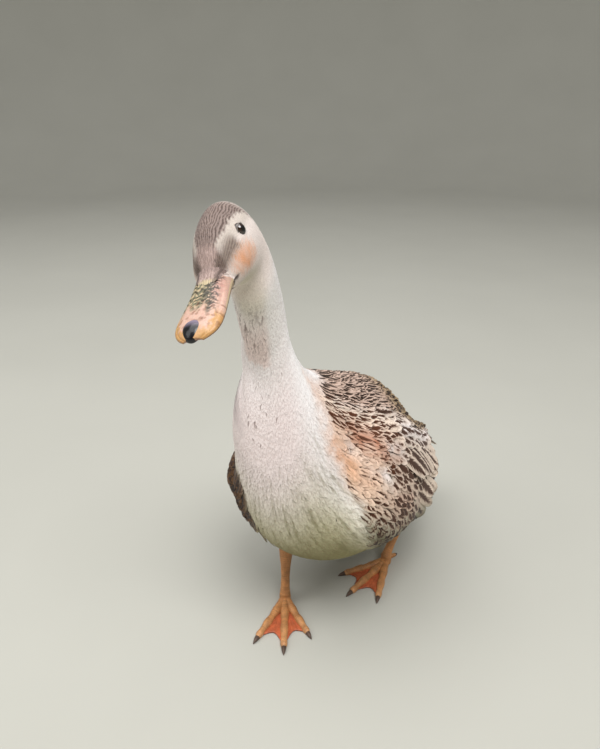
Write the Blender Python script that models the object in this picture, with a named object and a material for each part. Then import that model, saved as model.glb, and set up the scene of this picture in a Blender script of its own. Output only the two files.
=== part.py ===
"""A still, life-size silver appleyard duck, standing with the right foot forward and the head turned left.

Metres, +Z up. The duck faces -Y, its left side is +X, and the floor is z = 0. The tables below are side
views: forward is measured towards the breast, up from the floor, both in millimetres on the middle plane.
"""

import math

import bmesh
import bpy
import numpy as np

MM = 0.001
GAP = 0.3 * MM

# Each row is one cross-section of the body: the back line (forward, up), the belly line (forward, up),
# half the width, and how far down from the back the section is widest, as a share of its depth.
BODY_SECTIONS = (
    ("tail_end", -212, 121, -202, 99, 23, 0.50),
    ("rump", -176, 145, -163, 84, 43, 0.53),
    ("vent", -136, 171, -116, 69, 60, 0.56),
    ("loin", -93, 202, -56, 59, 73, 0.58),
    ("middle", -48, 238, 2, 58, 82, 0.56),
    ("chest", -6, 265, 52, 72, 85, 0.56),
    ("shoulder", 32, 283, 94, 99, 79, 0.57),
    ("breast", 63, 298, 124, 139, 62, 0.55),
    ("crop", 86, 314, 138, 190, 46, 0.54),
    ("neck_root", 99, 334, 140, 242, 33, 0.52),
    ("neck_low", 105, 356, 137, 288, 26.5, 0.50),
    ("neck_middle", 109, 379, 139, 328, 23.5, 0.50),
    ("neck_high", 115, 402, 148, 360, 21.5, 0.50),
    ("nape", 122, 424, 155, 378, 21.5, 0.50),
)
# The head in its own directions: the crown line (along, high), the throat line (along, high), half the
# width, and the same share, in millimetres from the middle of the head.
HEAD_SECTIONS = (
    ("occiput", -40, 14, -5, -31, 22.5, 0.50),
    ("hind_crown", -27, 32.5, 1, -26, 23.5, 0.53),
    ("crown", -9, 34, 7, -22, 23, 0.55),
    ("brow", 9, 29.5, 14, -20, 21, 0.55),
    ("forehead", 23, 22, 22, -18, 17.5, 0.56),
    ("bill_root", 35, 8, 27, -15, 13.5, 0.55),
)
HEAD_CENTRE = (-11, 170, 425)
HEAD_PITCH = math.radians(-15)
HEAD_TURN = math.radians(22)
HEAD_ROLL = math.radians(18)
TURN_AXIS = 148
NAMES = [row[0] for row in BODY_SECTIONS + HEAD_SECTIONS]


def at(name):
    """The number of a named cross-section, counted from the tail."""
    return float(NAMES.index(name))


def pitched(along, high):
    """A point of the head in the body's own side view."""
    ca, sa = math.cos(HEAD_PITCH), math.sin(HEAD_PITCH)
    return HEAD_CENTRE[1] + along * ca - high * sa, HEAD_CENTRE[2] + high * ca + along * sa


def whole_side_view():
    """The numbers of every cross-section, the head's placed in the body's side view."""
    rows = [row[1:] for row in BODY_SECTIONS]
    for row in HEAD_SECTIONS:
        rows.append((*pitched(*row[1:3]), *pitched(*row[3:5]), *row[5:]))
    return rows


def spline(rows):
    """A natural cubic spline through the rows, one row at each whole number, as a function of arrays."""
    rows = np.asarray(rows, float)
    count = len(rows)
    system = np.eye(count)
    right = np.zeros_like(rows)
    for i in range(1, count - 1):
        system[i, i - 1 : i + 2] = (1, 4, 1)
        right[i] = 6 * (rows[i - 1] - 2 * rows[i] + rows[i + 1])
    bend = np.linalg.solve(system, right)

    def value(t):
        t = np.asarray(t, float)
        i = np.clip(np.floor(t).astype(int), 0, count - 2)
        b = (t - i)[..., None]
        a = 1 - b
        return a * rows[i] + b * rows[i + 1] + ((a**3 - a) * bend[i] + (b**3 - b) * bend[i + 1]) / 6

    return value


def smoothstep(low, high, t):
    x = np.clip((np.asarray(t, float) - low) / (high - low), 0, 1)
    return x * x * (3 - 2 * x)


def turned(points, u):
    """Rolls and turns the head: nothing moves up to the crop, and the whole head moves as one."""
    across, forward, up = (points[..., i] for i in range(3))
    roll = HEAD_ROLL * smoothstep(at("neck_low"), at("occiput"), u)
    turn = HEAD_TURN * smoothstep(at("crop"), at("occiput"), u)
    shift = HEAD_CENTRE[0] * MM * smoothstep(at("crop"), at("occiput"), u)
    ca, sa = math.cos(HEAD_PITCH), math.sin(HEAD_PITCH)
    f, z = forward - HEAD_CENTRE[1] * MM, up - HEAD_CENTRE[2] * MM
    along, high = f * ca + z * sa, z * ca - f * sa
    across, high = across * np.cos(roll) - high * np.sin(roll), high * np.cos(roll) + across * np.sin(roll)
    forward = HEAD_CENTRE[1] * MM + along * ca - high * sa
    up = HEAD_CENTRE[2] * MM + high * ca + along * sa
    f = forward - TURN_AXIS * MM
    ahead = TURN_AXIS * MM + f * np.cos(turn) - across * np.sin(turn)
    across = across * np.cos(turn) + f * np.sin(turn) + shift
    return np.stack([across, -ahead, up], -1)


def loft(sections):
    """A skin over a table of sections: a function of the section number and the angle round from the back."""
    through = spline(sections)

    def skin(u, v):
        u, v = np.broadcast_arrays(np.asarray(u, float), np.asarray(v, float))
        back_f, back_z, belly_f, belly_z, half, widest = np.moveaxis(through(u), -1, 0)
        down = np.where(np.cos(v) > 0, -widest * np.cos(v), -(1 - widest) * np.cos(v)) + widest
        forward = back_f + (belly_f - back_f) * down
        up = back_z + (belly_z - back_z) * down
        return np.stack([half * np.sin(v), forward, up], -1) * MM

    return skin


def lifted(skin, u, v, lift):
    """Points of a skin moved out along its own normal, before the head is turned."""
    step = 1e-3
    du = skin(u + step, v) - skin(u - step, v)
    dv = skin(u, v + step) - skin(u, v - step)
    normal = np.cross(dv, du)
    normal /= np.linalg.norm(normal, axis=-1, keepdims=True)
    return skin(u, v) + normal * np.asarray(lift)[..., None]


body_skin = loft(whole_side_view())


def body_point(u, v, lift=0.0):
    u, v, lift = np.broadcast_arrays(*(np.asarray(x, float) for x in (u, v, lift)))
    return turned(lifted(body_skin, u, v, lift), u)


def head_point(along, across, high):
    """A point given in the head's own directions, in millimetres from the head's centre."""
    forward, up = pitched(np.asarray(along, float), np.asarray(high, float))
    points = np.stack(np.broadcast_arrays(np.asarray(across, float), forward, up), -1) * MM
    return turned(points, at("bill_root"))


def material(name, colour, roughness=0.7):
    made = bpy.data.materials.new(name)
    made.use_nodes = True
    shader = made.node_tree.nodes["Principled BSDF"]
    shader.inputs["Base Color"].default_value = (*colour, 1)
    shader.inputs["Roughness"].default_value = roughness
    return made


def solid(name, vertices, faces, finish=None):
    """A mesh object with its faces pointing outwards."""
    mesh = bpy.data.meshes.new(name)
    mesh.from_pydata([tuple(v) for v in vertices], [], [tuple(int(i) for i in f) for f in faces])
    form = bmesh.new()
    form.from_mesh(mesh)
    bmesh.ops.recalc_face_normals(form, faces=form.faces)
    form.to_mesh(mesh)
    form.free()
    mesh.shade_smooth()
    if finish:
        mesh.materials.append(finish)
    made = bpy.data.objects.new(name, mesh)
    bpy.context.scene.collection.objects.link(made)
    return made


def tube(rings):
    """Vertices and triangles of closed rings joined in a row, with a fan over each end."""
    rings = np.asarray(rings)
    rows, around = rings.shape[:2]
    index = np.arange(rows * around).reshape(rows, around)
    nxt = np.roll(index, -1, 1)
    faces = []
    for r in range(rows - 1):
        a, b, c, d = index[r], nxt[r], nxt[r + 1], index[r + 1]
        faces += list(np.stack([a, b, c], 1)) + list(np.stack([a, c, d], 1))
    vertices = list(rings.reshape(-1, 3)) + [rings[0].mean(0), rings[-1].mean(0)]
    first, last = rows * around, rows * around + 1
    faces += [(first, j, i) for i, j in zip(index[0], nxt[0])]
    faces += [(last, i, j) for i, j in zip(index[-1], nxt[-1])]
    return vertices, faces


def slab(top, bottom):
    """Vertices and triangles of a thin closed sheet, with its two faces split into triangles alike."""
    rows, columns = top.shape[:2]
    index = np.arange(rows * columns).reshape(rows, columns)
    shift = rows * columns
    a, b, c, d = (x.ravel() for x in (index[:-1, :-1], index[:-1, 1:], index[1:, 1:], index[1:, :-1]))
    upper = np.concatenate([np.stack([a, b, c], 1), np.stack([a, c, d], 1)])
    rim = np.concatenate([index[0, :-1], index[:-1, -1], index[-1, :0:-1], index[:0:-1, 0]])
    after = np.roll(rim, -1)
    walls = [np.stack([rim, after, after + shift], 1), np.stack([rim, after + shift, rim + shift], 1)]
    walls = np.concatenate(walls)
    faces = np.concatenate([upper, upper[:, ::-1] + shift, walls[:, ::-1]])
    return np.concatenate([top.reshape(-1, 3), bottom.reshape(-1, 3)]), faces


def boolean(target, operation, cutter=None, collection=None):
    """Applies one Boolean and removes what it used."""
    made = target.modifiers.new(operation.lower(), "BOOLEAN")
    made.operation = operation
    made.solver = "EXACT"
    if collection:
        made.operand_type = "COLLECTION"
        made.collection = collection
    else:
        made.object = cutter
    bpy.context.view_layer.objects.active = target
    bpy.context.view_layer.update()
    bpy.ops.object.modifier_apply(modifier=made.name)
    for used in [cutter] if cutter else list(collection.objects):
        bpy.data.objects.remove(used)
    if collection:
        bpy.data.collections.remove(collection)


# The feathered body: the torso, the neck and the head are one skin, parted by thin cuts.
ROUND_BODY, ROUND_NECK, ROUND_HEAD = 32, 22, 24
NECK_CUT, HEAD_CUT, TAIL_CUT = at("neck_root") + 0.3, at("nape") - 0.3, at("rump") - 0.25


def body_rings(first, last, count, around, lift=0.0):
    v = np.arange(around) * 2 * math.pi / around
    return [body_point(u, v, lift) for u in np.linspace(first, last, count)]


def plane_shift(ring, towards, distance):
    """The ring moved square to its own plane, towards a point, by a distance."""
    centre = ring.mean(0)
    quarter = len(ring) // 4
    normal = np.cross(ring[0] - centre, ring[quarter] - centre)
    normal /= np.linalg.norm(normal)
    if normal @ (towards - centre) < 0:
        normal = -normal
    return ring + normal * distance


def body_length(name, first, last, count, around, finish, gap_first, gap_last):
    """One length of the body between two cuts, drawn in by half the gap at each end that touches."""
    rings = body_rings(first, last, count, around)
    if gap_first:
        rings[0] = plane_shift(rings[0], rings[1].mean(0), GAP / 2)
    if gap_last:
        rings[-1] = plane_shift(rings[-1], rings[-2].mean(0), GAP / 2)
    return solid(name, *tube(rings), finish)


# The bill along the head's own axis: ridge, biting edge and half width, in millimetres. Its root follows the
# slant of the last cross-section of the head.
UPPER_BILL = (
    # along, ridge, edge, half width
    (35.4, 8.0, -6.2, 12.9),
    (42, 5.4, -6.8, 12.9),
    (52, 2.2, -8.0, 13.7),
    (63, -0.8, -9.4, 15.4),
    (74, -3.2, -10.6, 17.0),
    (83, -5.2, -11.6, 16.7),
    (89.5, -7.4, -12.3, 12.9),
    (93, -9.6, -12.9, 7.4),
)
ROOT_SLANT = 8 / 23
LOWER_DEPTH, LOWER_INSET, LOWER_END = 5.2, 1.7, 85.5
BITE_GAP, PALATE = 0.6, 0.3
BILL_STEPS, BILL_ROUND = 13, 9
NOSTRIL_PLACE, NOSTRIL_SIZE = (43.5, 7.2, 2.2), (3.4, 2.2, 1.5)
NAIL_CENTRE, NAIL_SIZE, NAIL_TILT = (86.8, 0, -9.6), (8.2, 5.8, 4.8), -22
MOUTH_SLIT = {"along": (19, 40), "high": (-5.6, -6.2), "half": 24, "open": 0.8}


def bill_rows():
    return spline(UPPER_BILL)(np.linspace(0, len(UPPER_BILL) - 1, BILL_STEPS)).T


def bill_point(along, across, high):
    """A point of the bill: the slant of its root fades towards the tip."""
    first, last = UPPER_BILL[0][0], UPPER_BILL[-1][0]
    fade = np.clip((last - along) / (last - first), 0, 1) ** 2
    return head_point(along + ROOT_SLANT * fade * (high - UPPER_BILL[0][1]), across, high)


def bill_dome(across):
    """The height of the bill's arch over its own few columns, as a share, at any place across."""
    columns = np.linspace(-1, 1, BILL_ROUND)
    return np.interp(across, columns, np.sqrt(np.clip(1 - np.abs(columns) ** 2.3, 0, 1)))


def upper_bill(finish):
    along, ridge, edge, half = bill_rows()
    across = np.linspace(-1, 1, BILL_ROUND)
    dome = bill_dome(across)
    rise = (ridge - edge)[:, None]
    top = bill_point(along[:, None], half[:, None] * across, edge[:, None] + 0.9 + (rise - 0.9) * dome)
    bottom = bill_point(along[:, None], half[:, None] * across, edge[:, None] + rise * PALATE * dome)
    return solid("bill_upper", *slab(top, bottom), finish)


def lower_bill(finish):
    rows = bill_rows()
    share = (LOWER_END - rows[0][0]) / (rows[0][-1] - rows[0][0])
    along = rows[0][0] + (rows[0] - rows[0][0]) * share
    ridge, edge, wide = (np.interp(along, rows[0], row) for row in rows[1:])
    done = (along - along[0]) / (LOWER_END - along[0])
    half = (wide - LOWER_INSET) * np.sqrt(np.clip(1.03 - done**7, 0.05, 1))
    across = np.linspace(-1, 1, BILL_ROUND)
    inside = bill_dome(across * (half / wide)[:, None])
    top = edge[:, None] + (ridge - edge)[:, None] * PALATE * inside - BITE_GAP
    keel = np.sqrt(np.clip(1 - np.abs(across) ** 2.6, 0, 1))
    low = np.minimum(edge[:, None] - 1.2 - LOWER_DEPTH * (1 - 0.5 * done)[:, None] * keel, top - 0.7)
    places = [bill_point(along[:, None], half[:, None] * across, high) for high in (top, low)]
    return solid("bill_lower", *slab(*places), finish)


def ellipsoid(name, centre, radii, axes, finish=None, rings=10, around=16):
    """A closed egg shape with its own three directions."""
    rows = np.linspace(0, math.pi, rings + 1)[1:-1]
    turn = np.arange(around) * 2 * math.pi / around
    local = np.stack(
        [
            np.cos(rows)[:, None] * np.ones(around) * radii[0],
            np.sin(rows)[:, None] * np.cos(turn) * radii[1],
            np.sin(rows)[:, None] * np.sin(turn) * radii[2],
        ],
        -1,
    )
    vertices, faces = tube(local)
    vertices[-2], vertices[-1] = np.array([radii[0], 0, 0]), np.array([-radii[0], 0, 0])
    return solid(name, np.asarray(vertices) @ np.asarray(axes) + np.asarray(centre), faces, finish)


def head_axes():
    """The head's forward, left and up directions in the model."""
    here = head_point(0, 0, 0)
    axes = [head_point(*step) - here for step in ((10, 0, 0), (0, 10, 0), (0, 0, 10))]
    return np.array([a / np.linalg.norm(a) for a in axes])


# Eyes: an eyeball set in a socket, inside a raised ring of lid. Its middle is given in the head's directions.
EYE_PLACE, EYE_RADIUS, EYE_SOCKET = (2.0, 17.6, 16.6), 5.4 * MM, 0.35 * MM
EYE_LOOK = (0.22, 0.94, 0.26)
LID_RADIUS, LID_THICK, LID_OUT = 5.3 * MM, 1.3 * MM, 2.7 * MM
LID_ROUND, LID_SMALL = 14, 5


def eye_frame(side):
    """The middle of an eyeball and its own directions, the first of them the way that it looks."""
    along, across, high = EYE_PLACE
    axes = head_axes() * np.array([1, side, 1])[:, None]
    out = np.array(EYE_LOOK) @ axes
    out /= np.linalg.norm(out)
    back = np.cross(out, axes[2])
    back /= np.linalg.norm(back)
    return head_point(along, side * across, high), np.array([out, back, np.cross(out, back)])


def lid_ring(side):
    centre, axes = eye_frame(side)
    place = centre + axes[0] * LID_OUT
    turn = np.arange(LID_ROUND) * 2 * math.pi / LID_ROUND
    small = np.arange(LID_SMALL) * 2 * math.pi / LID_SMALL
    radial = np.cos(turn)[:, None] * axes[1] + np.sin(turn)[:, None] * axes[2]
    hub = place + LID_RADIUS * radial
    ring = hub[:, None] + LID_THICK * (
        np.cos(small)[None, :, None] * radial[:, None] + np.sin(small)[None, :, None] * axes[0]
    )
    index = np.arange(LID_ROUND * LID_SMALL).reshape(LID_ROUND, LID_SMALL)
    a, b = index, np.roll(index, -1, 1)
    c, d = np.roll(b, -1, 0), np.roll(a, -1, 0)
    faces = np.concatenate([np.stack([a, b, c], -1).reshape(-1, 3), np.stack([a, c, d], -1).reshape(-1, 3)])
    return solid("lid", ring.reshape(-1, 3), faces)


# Legs, given as across, forward and up in millimetres. Each foot stands flat, and the right one is forward.
LEGS = {
    "right": {"ankle": (-28, 64), "hock": (-36, 50, 64), "hip": (-43, -4, 112), "heading": 34},
    "left": {"ankle": (38, -58), "hock": (43, -84, 55), "hip": (41, -86, 112), "heading": -8},
}
ANKLE_HEIGHT = 13
SHANK_SHAPE = ((0, 5.9), (0.12, 5.2), (0.35, 4.6), (0.65, 4.8), (0.85, 6.2), (1, 7.2))
THIGH_SHAPE = ((0, 9.5), (0.18, 13), (0.45, 19), (0.75, 23), (1.0, 25))
THIGH_GAP = 0.55 * MM
TOES = {"inner": (-27, 56), "middle": (0, 70), "outer": (27, 63)}
TOE_RADIUS, HIND_TOE, CLAW_LENGTH = 4.3, 19, 8.5
WEB_THICK, WEB_SCALLOP = 1.6, 0.2
RING_TWIST = 0.21


def from_side(point):
    """A point given as across, forward, up in millimetres."""
    return np.array([point[0], -point[1], point[2]]) * MM


def rod(name, stations, around=10, finish=None, level_ends=()):
    """A round rod through points with a radius each, its rings square to its path and some ends cut level."""
    places = np.array([p for p, _ in stations], float)
    radii = [r for _, r in stations]
    rings = []
    whole = places[-1] - places[0]
    aside = np.eye(3)[np.argmin(np.abs(whole))]
    for i, (place, radius) in enumerate(zip(places, radii)):
        along = places[min(i + 1, len(places) - 1)] - places[max(i - 1, 0)]
        along /= np.linalg.norm(along)
        side = np.cross(along, aside)
        side /= np.linalg.norm(side)
        other = np.cross(along, side)
        turn = RING_TWIST + np.arange(around) * 2 * math.pi / around
        rings.append(place + radius * (np.cos(turn)[:, None] * side + np.sin(turn)[:, None] * other))
    for end in level_ends:
        rings[end][:, 2] = places[end][2]
    return solid(name, *tube(rings), finish)


def largest_body(target):
    """Keeps only the mesh's largest closed surface, which fills sealed hollows and drops scraps."""
    form = bmesh.new()
    form.from_mesh(target.data)
    bmesh.ops.triangulate(form, faces=form.faces)
    left = set(form.faces)
    shells = []
    while left:
        start = left.pop()
        shell, edge = {start}, [start]
        while edge:
            for ring in edge.pop().edges:
                for other in ring.link_faces:
                    if other in left:
                        left.remove(other)
                        shell.add(other)
                        edge.append(other)
        shells.append(shell)
    shells.sort(key=lambda s: -sum(f.calc_area() for f in s))
    loose = [f for shell in shells[1:] for f in shell]
    bmesh.ops.delete(form, geom=loose, context="FACES")
    form.to_mesh(target.data)
    form.free()


def fused(name, pieces, finish):
    """Joins closed pieces into one node by a single union."""
    first, rest = pieces[0], pieces[1:]
    group = bpy.data.collections.new(name + "_pieces")
    for piece in rest:
        bpy.context.scene.collection.objects.unlink(piece)
        group.objects.link(piece)
    bpy.context.scene.collection.children.link(group)
    boolean(first, "UNION", collection=group)
    largest_body(first)
    first.name = name
    first.data.name = name
    first.data.materials.clear()
    first.data.materials.append(finish)
    first.data.shade_smooth()
    return first


TOE_BUMPS = (
    # share of the length, radius, height of the middle, both as shares of the toe's radius
    (-0.02, 1.2, 1.5),
    (0.22, 1.05, 0.98),
    (0.34, 1.15, 0.8),
    (0.5, 0.88, 0.68),
    (0.64, 1.05, 0.7),
    (0.8, 0.8, 0.6),
    (0.92, 0.88, 0.6),
    (1.0, 0.55, 0.42),
)


def foot(side, finish):
    """Three webbed toes with claws and a small hind toe, cut off flat at the floor."""
    spec = LEGS[side]
    mirror = 1 if side == "left" else -1
    ankle = np.array(spec["ankle"], float)
    heading = math.radians(spec["heading"])
    ahead = np.array([math.sin(heading), math.cos(heading)])
    pieces, tips = [], []

    def low(place, height):
        return from_side((*place, height))

    for angle, length in TOES.values():
        turn = heading + mirror * math.radians(angle)
        way = np.array([math.sin(turn), math.cos(turn)])
        toe = [
            (low(ankle + way * length * share, TOE_RADIUS * height), TOE_RADIUS * radius * MM)
            for share, radius, height in TOE_BUMPS
        ]
        pieces.append(rod("toe", toe, 8))
        middle, end = length + 0.55 * CLAW_LENGTH, length + CLAW_LENGTH
        claw = [(length - 3, 2.6, 1.9), (middle, 2.3, 1.4), (end, 0.7, 0.5)]
        pieces.append(rod("claw", [(low(ankle + way * far, high), r * MM) for far, high, r in claw], 6))
        tips.append(way * length * 0.97)
    hind = [(0, 9, 3.6), (9, 5.4, 2.8), (HIND_TOE, 2.1, 2.4), (HIND_TOE + 6, 0.5, 0.7)]
    pieces.append(rod("hind_toe", [(low(ankle - ahead * far, high), r * MM) for far, high, r in hind], 6))
    for first, second, height in ((0, 1, 3.2), (1, 2, 3.35)):
        pieces.append(web(ankle, tips[first], tips[second], height))
    joint = [(3, 6.5), (8, 6.6), (ANKLE_HEIGHT, 5.6)]
    pieces.append(rod("joint", [(low(ankle, high), r * MM) for high, r in joint], 10, level_ends=(0, -1)))
    made = fused("foot_" + side, pieces, finish)
    floor_cut(made)
    return made


def web(root, first, second, height):
    """A skin between two toes, with a scalloped front edge; its sides end inside the toes."""
    out = np.linspace(0.06, 1, 4)[:, None, None]
    over = np.linspace(-0.03, 1.03, 5)[None, :, None]
    scallop = 1 - WEB_SCALLOP * np.sin(math.pi * over)
    place = root + out * scallop * (first * (1 - over) + second * over)
    high = (height - 0.8 * out + 0 * over)[..., 0]
    points = np.stack([place[..., 0], -place[..., 1], high], -1) * MM
    return solid("web", *slab(points, points - np.array([0, 0, WEB_THICK * MM])))


def floor_cut(target):
    """Takes off all that lies under the floor, which leaves small flats to stand on."""
    corners = np.array([[[-1.0, -1, 0], [1, -1, 0]], [[-1, 1, 0], [1, 1, 0]]]) * 0.6
    boolean(target, "DIFFERENCE", cutter=solid("floor", *slab(corners, corners - np.array([0, 0, 0.1]))))
    largest_body(target)


def shank(side, finish):
    ankle = np.array([*LEGS[side]["ankle"], ANKLE_HEIGHT + GAP / MM])
    hock = np.array(LEGS[side]["hock"], float)
    stations = [(from_side(ankle + (hock - ankle) * share), radius * MM) for share, radius in SHANK_SHAPE]
    return rod("shank_" + side, stations, 12, finish, level_ends=(0, -1))


def thigh(side, finish):
    """The feathered drumstick, from the hock up into the body, where the body's own shape cuts it off."""
    hock, hip = (np.array(LEGS[side][name], float) for name in ("hock", "hip"))
    start = hock + np.array([0, 0, GAP / MM])
    stations = [(from_side(start + (hip - hock) * share), radius * MM) for share, radius in THIGH_SHAPE]
    made = rod("thigh_" + side, stations, 18, finish, level_ends=(0,))
    body = solid("body_cutter", *tube(body_rings(0, NECK_CUT, 44, 48, THIGH_GAP)))
    boolean(made, "DIFFERENCE", cutter=body)
    largest_body(made)
    return made


def head(finish):
    """The head with its raised lids, its eye sockets and the slit of the mouth at its front."""
    made = body_length("head", HEAD_CUT, at("bill_root"), 16, ROUND_HEAD, finish, True, True)
    made = fused("head", [made, lid_ring(1), lid_ring(-1)], finish)
    for side in (1, -1):
        centre, axes = eye_frame(side)
        socket = ellipsoid("socket", centre, [EYE_RADIUS + EYE_SOCKET] * 3, axes, None, 8, 12)
        boolean(made, "DIFFERENCE", cutter=socket)
    along, high = MOUTH_SLIT["along"], MOUTH_SLIT["high"]
    across = np.array([-1, 1]) * MOUTH_SLIT["half"]
    top = head_point(np.array(along)[:, None], across, np.array(high)[:, None])
    drop = head_axes()[2] * MOUTH_SLIT["open"] * MM
    boolean(made, "DIFFERENCE", cutter=solid("mouth", *slab(top + drop / 2, top - drop / 2)))
    largest_body(made)
    return made


# Folded wings: a pad of coverts that lies on the body's side, in the body's own section numbers and degrees
# round from the back. Rows: section number, upper edge, lower edge, thickness in millimetres.
WING_PAD = (
    (1.6, 48, 68, 3.0),
    (2.1, 42, 90, 3.6),
    (2.9, 37, 109, 4.6),
    (3.8, 34, 121, 5.8),
    (4.8, 34, 128, 7.6),
    (5.7, 38, 129, 9.6),
    (6.35, 50, 124, 9.6),
    (6.75, 66, 112, 5.0),
)
PAD_ROWS, PAD_COLUMNS = 13, 11
INNER_LIFT, RIM_THICK, LOW_SWELL = 1.2 * MM, 1.0 * MM, 0.35
# The tiers of a folded wing, from the rear: number of vanes, section number of their roots, then of their
# tips, angles of the first and last root, of the first and last tip, and width in millimetres.
WING_TIERS = (
    ("primaries", 4, 2.45, (0.55, 0.95), (54, 78), (46, 60), 16),
    ("secondaries", 6, 3.6, (1.75, 2.2), (44, 108), (40, 102), 23),
    ("greater_coverts", 6, 4.55, (3.0, 3.2), (44, 115), (38, 116), 25),
    ("median_coverts", 6, 5.4, (3.95, 4.15), (47, 118), (40, 122), 25),
    ("lesser_coverts", 5, 6.1, (4.9, 5.1), (58, 114), (51, 121), 24),
)
SCAPULARS = {"number": 4, "roots": (5.5, 3.3), "reach": 1.35, "root_angle": 43, "tip_angle": 31, "width": 23}
VANE_THICK, VANE_SUNK, VANE_TILT, RACHIS_RISE = 0.7 * MM, 1.6 * MM, 0.8 * MM, 0.25 * MM
VANE_RISE, SCAPULAR_RISE = 2.4 * MM, 2.8 * MM
# Along one vane: the share of its length, of its width, and of its rise.
VANE_STATIONS = ((0, 0.6, 0), (0.3, 0.95, 0.85), (0.75, 0.95, 1.0), (1.0, 0.3, 1.0))
WING_SEED = 12


def pad_row(u):
    """The pad's upper edge, lower edge and thickness at a section number."""
    numbers = [row[0] for row in WING_PAD]
    return [np.interp(u, numbers, [row[i] for row in WING_PAD]) for i in (1, 2, 3)]


def pad_height(thick, over):
    """The pad's height over the body at a place between its upper edge, -1, and its lower edge, 1."""
    round_off = np.sqrt(np.clip(1 - np.abs(over) ** 3, 0, 1))
    return RIM_THICK + (thick * MM - RIM_THICK) * round_off * (1 + LOW_SWELL * over)


def wing_pad():
    """The pad's section numbers, angles and heights over its own grid."""
    rows = spline(WING_PAD)(np.linspace(0, len(WING_PAD) - 1, PAD_ROWS))
    over = np.linspace(-1, 1, PAD_COLUMNS)
    u, upper, lower, thick = (rows[:, i, None] for i in range(4))
    return u + 0 * over, np.radians((upper + lower) / 2 + (lower - upper) / 2 * over), pad_height(thick, over)


def wing_vane(mirror, root, tip, width, rise):
    """One feather from its root, sunk in the pad, to its tip; each lies a little over its lower neighbour."""
    (root_u, root_v), (tip_u, tip_v) = root, tip
    upper, lower, thick = pad_row(root_u)
    over = (2 * root_v - upper - lower) / (lower - upper)
    base = INNER_LIFT + pad_height(thick, over) - VANE_SUNK
    share, wide, high = (np.array(column)[:, None] for column in zip(*VANE_STATIONS))
    u = root_u + (tip_u - root_u) * share
    v = np.radians(root_v + (tip_v - root_v) * share)
    radius = np.linalg.norm(body_point(u, v + 0.05) - body_point(u, v - 0.05), axis=-1) / 0.1
    side = np.array([-1, 0, 1])
    angle = v + side * wide * width * MM / 2 / radius
    lift = base + rise * high + VANE_TILT * side * wide + RACHIS_RISE * (side == 0)
    return [body_point(u, angle * mirror, lift - down) for down in (0, VANE_THICK)]


def wing(side, finish):
    """The pad and its feathers, joined at their roots."""
    random = np.random.default_rng(WING_SEED)
    mirror = 1 if side == "left" else -1
    u, angle, height = wing_pad()
    shells = [(body_point(u, angle * mirror, INNER_LIFT + height), body_point(u, angle * mirror, INNER_LIFT))]
    for _, number, root_u, tip_u, root_v, tip_v, width in WING_TIERS:
        for share in np.linspace(0, 1, number):
            stray = random.uniform(-1, 1, 4)
            root = root_u + 0.06 * stray[0], root_v[0] + (root_v[1] - root_v[0]) * share + 0.8 * stray[1]
            tip = tip_u[0] + (tip_u[1] - tip_u[0]) * share + 0.1 * stray[2]
            tip = tip, tip_v[0] + (tip_v[1] - tip_v[0]) * share
            shells.append(wing_vane(mirror, root, tip, width * (1 + 0.05 * stray[3]), VANE_RISE))
    spec = SCAPULARS
    for u in np.linspace(*spec["roots"], spec["number"]):
        root_v = max(spec["root_angle"], pad_row(u)[0] + 8)
        tip = u - spec["reach"], spec["tip_angle"] + 4 * random.uniform(-1, 1)
        shells.append(wing_vane(mirror, (u, root_v), tip, spec["width"], SCAPULAR_RISE))
    return fused("wing_" + side, [solid("vane", *slab(*shell)) for shell in shells], finish)


# The tail: a core in line with the body, and a fan of stiff feathers with rows of coverts over and under it.
TAIL_ROOT, TAIL_DROOP = (-194, 121), math.radians(-34)
# Number of feathers, half the spread of their roots, half their fan in degrees, first and last distance
# behind the root, height at the root and at the tip, fall towards the sides, and width, in millimetres.
TAIL_TIERS = (
    ("rectrices", 10, 15, 13, (-3, 64), (0.5, 0.5), 5.4, 13),
    ("upper_coverts", 5, 13, 11, (1, 42), (6.0, 3.6), 4.6, 15),
    ("top_coverts", 4, 12, 9, (-1, 27), (9.5, 7.0), 4.6, 15),
    ("under_coverts", 4, 13, 10, (0, 40), (-9.5, -8.0), 1.6, 15),
)
TAIL_SEED = 5


def tail_point(back, across, high):
    """A point of the tail's fan, in millimetres behind, across and above its root."""
    back, across, high = np.broadcast_arrays(*(np.asarray(x, float) for x in (back, across, high)))
    ca, sa = math.cos(TAIL_DROOP), math.sin(TAIL_DROOP)
    forward = TAIL_ROOT[0] - back * ca + high * sa
    return np.stack([across, -forward, TAIL_ROOT[1] + back * sa + high * ca], -1) * MM


def tail_vane(place, spread, fan, back, height, fall, width):
    """One feather of the fan, its place from -1 on the right to 1 on the left; the middle ones lie on top."""
    share, wide, _ = (np.array(column)[:, None] for column in zip(*VANE_STATIONS))
    length = (back[1] - back[0]) * (1 - 0.1 * place**2)
    turn = math.radians(fan) * place
    side = np.array([-1, 0, 1]) * wide * width / 2
    behind = back[0] + length * share * math.cos(turn) - side * math.sin(turn)
    across = spread * place + length * share * math.sin(turn) + side * math.cos(turn)
    high = height[0] + (height[1] - height[0]) * share - fall * abs(place) + 0.3 * (side == 0)
    thick = VANE_THICK / MM
    return tail_point(behind, across, high), tail_point(behind, across, high - thick)


def tail(finish):
    random = np.random.default_rng(TAIL_SEED)
    pieces = [body_length("tail", 0, TAIL_CUT, 5, 20, finish, False, True)]
    for _, number, *spec in TAIL_TIERS:
        for place in np.linspace(-1, 1, number):
            stray = random.uniform(-1, 1, 2)
            spread, fan, back, height, fall, width = spec
            back = back[0], back[1] + 2.5 * stray[0]
            vane = tail_vane(place, spread, fan + stray[1], back, height, fall, width)
            pieces.append(solid("vane", *slab(*vane)))
    return fused("tail", pieces, finish)


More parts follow.
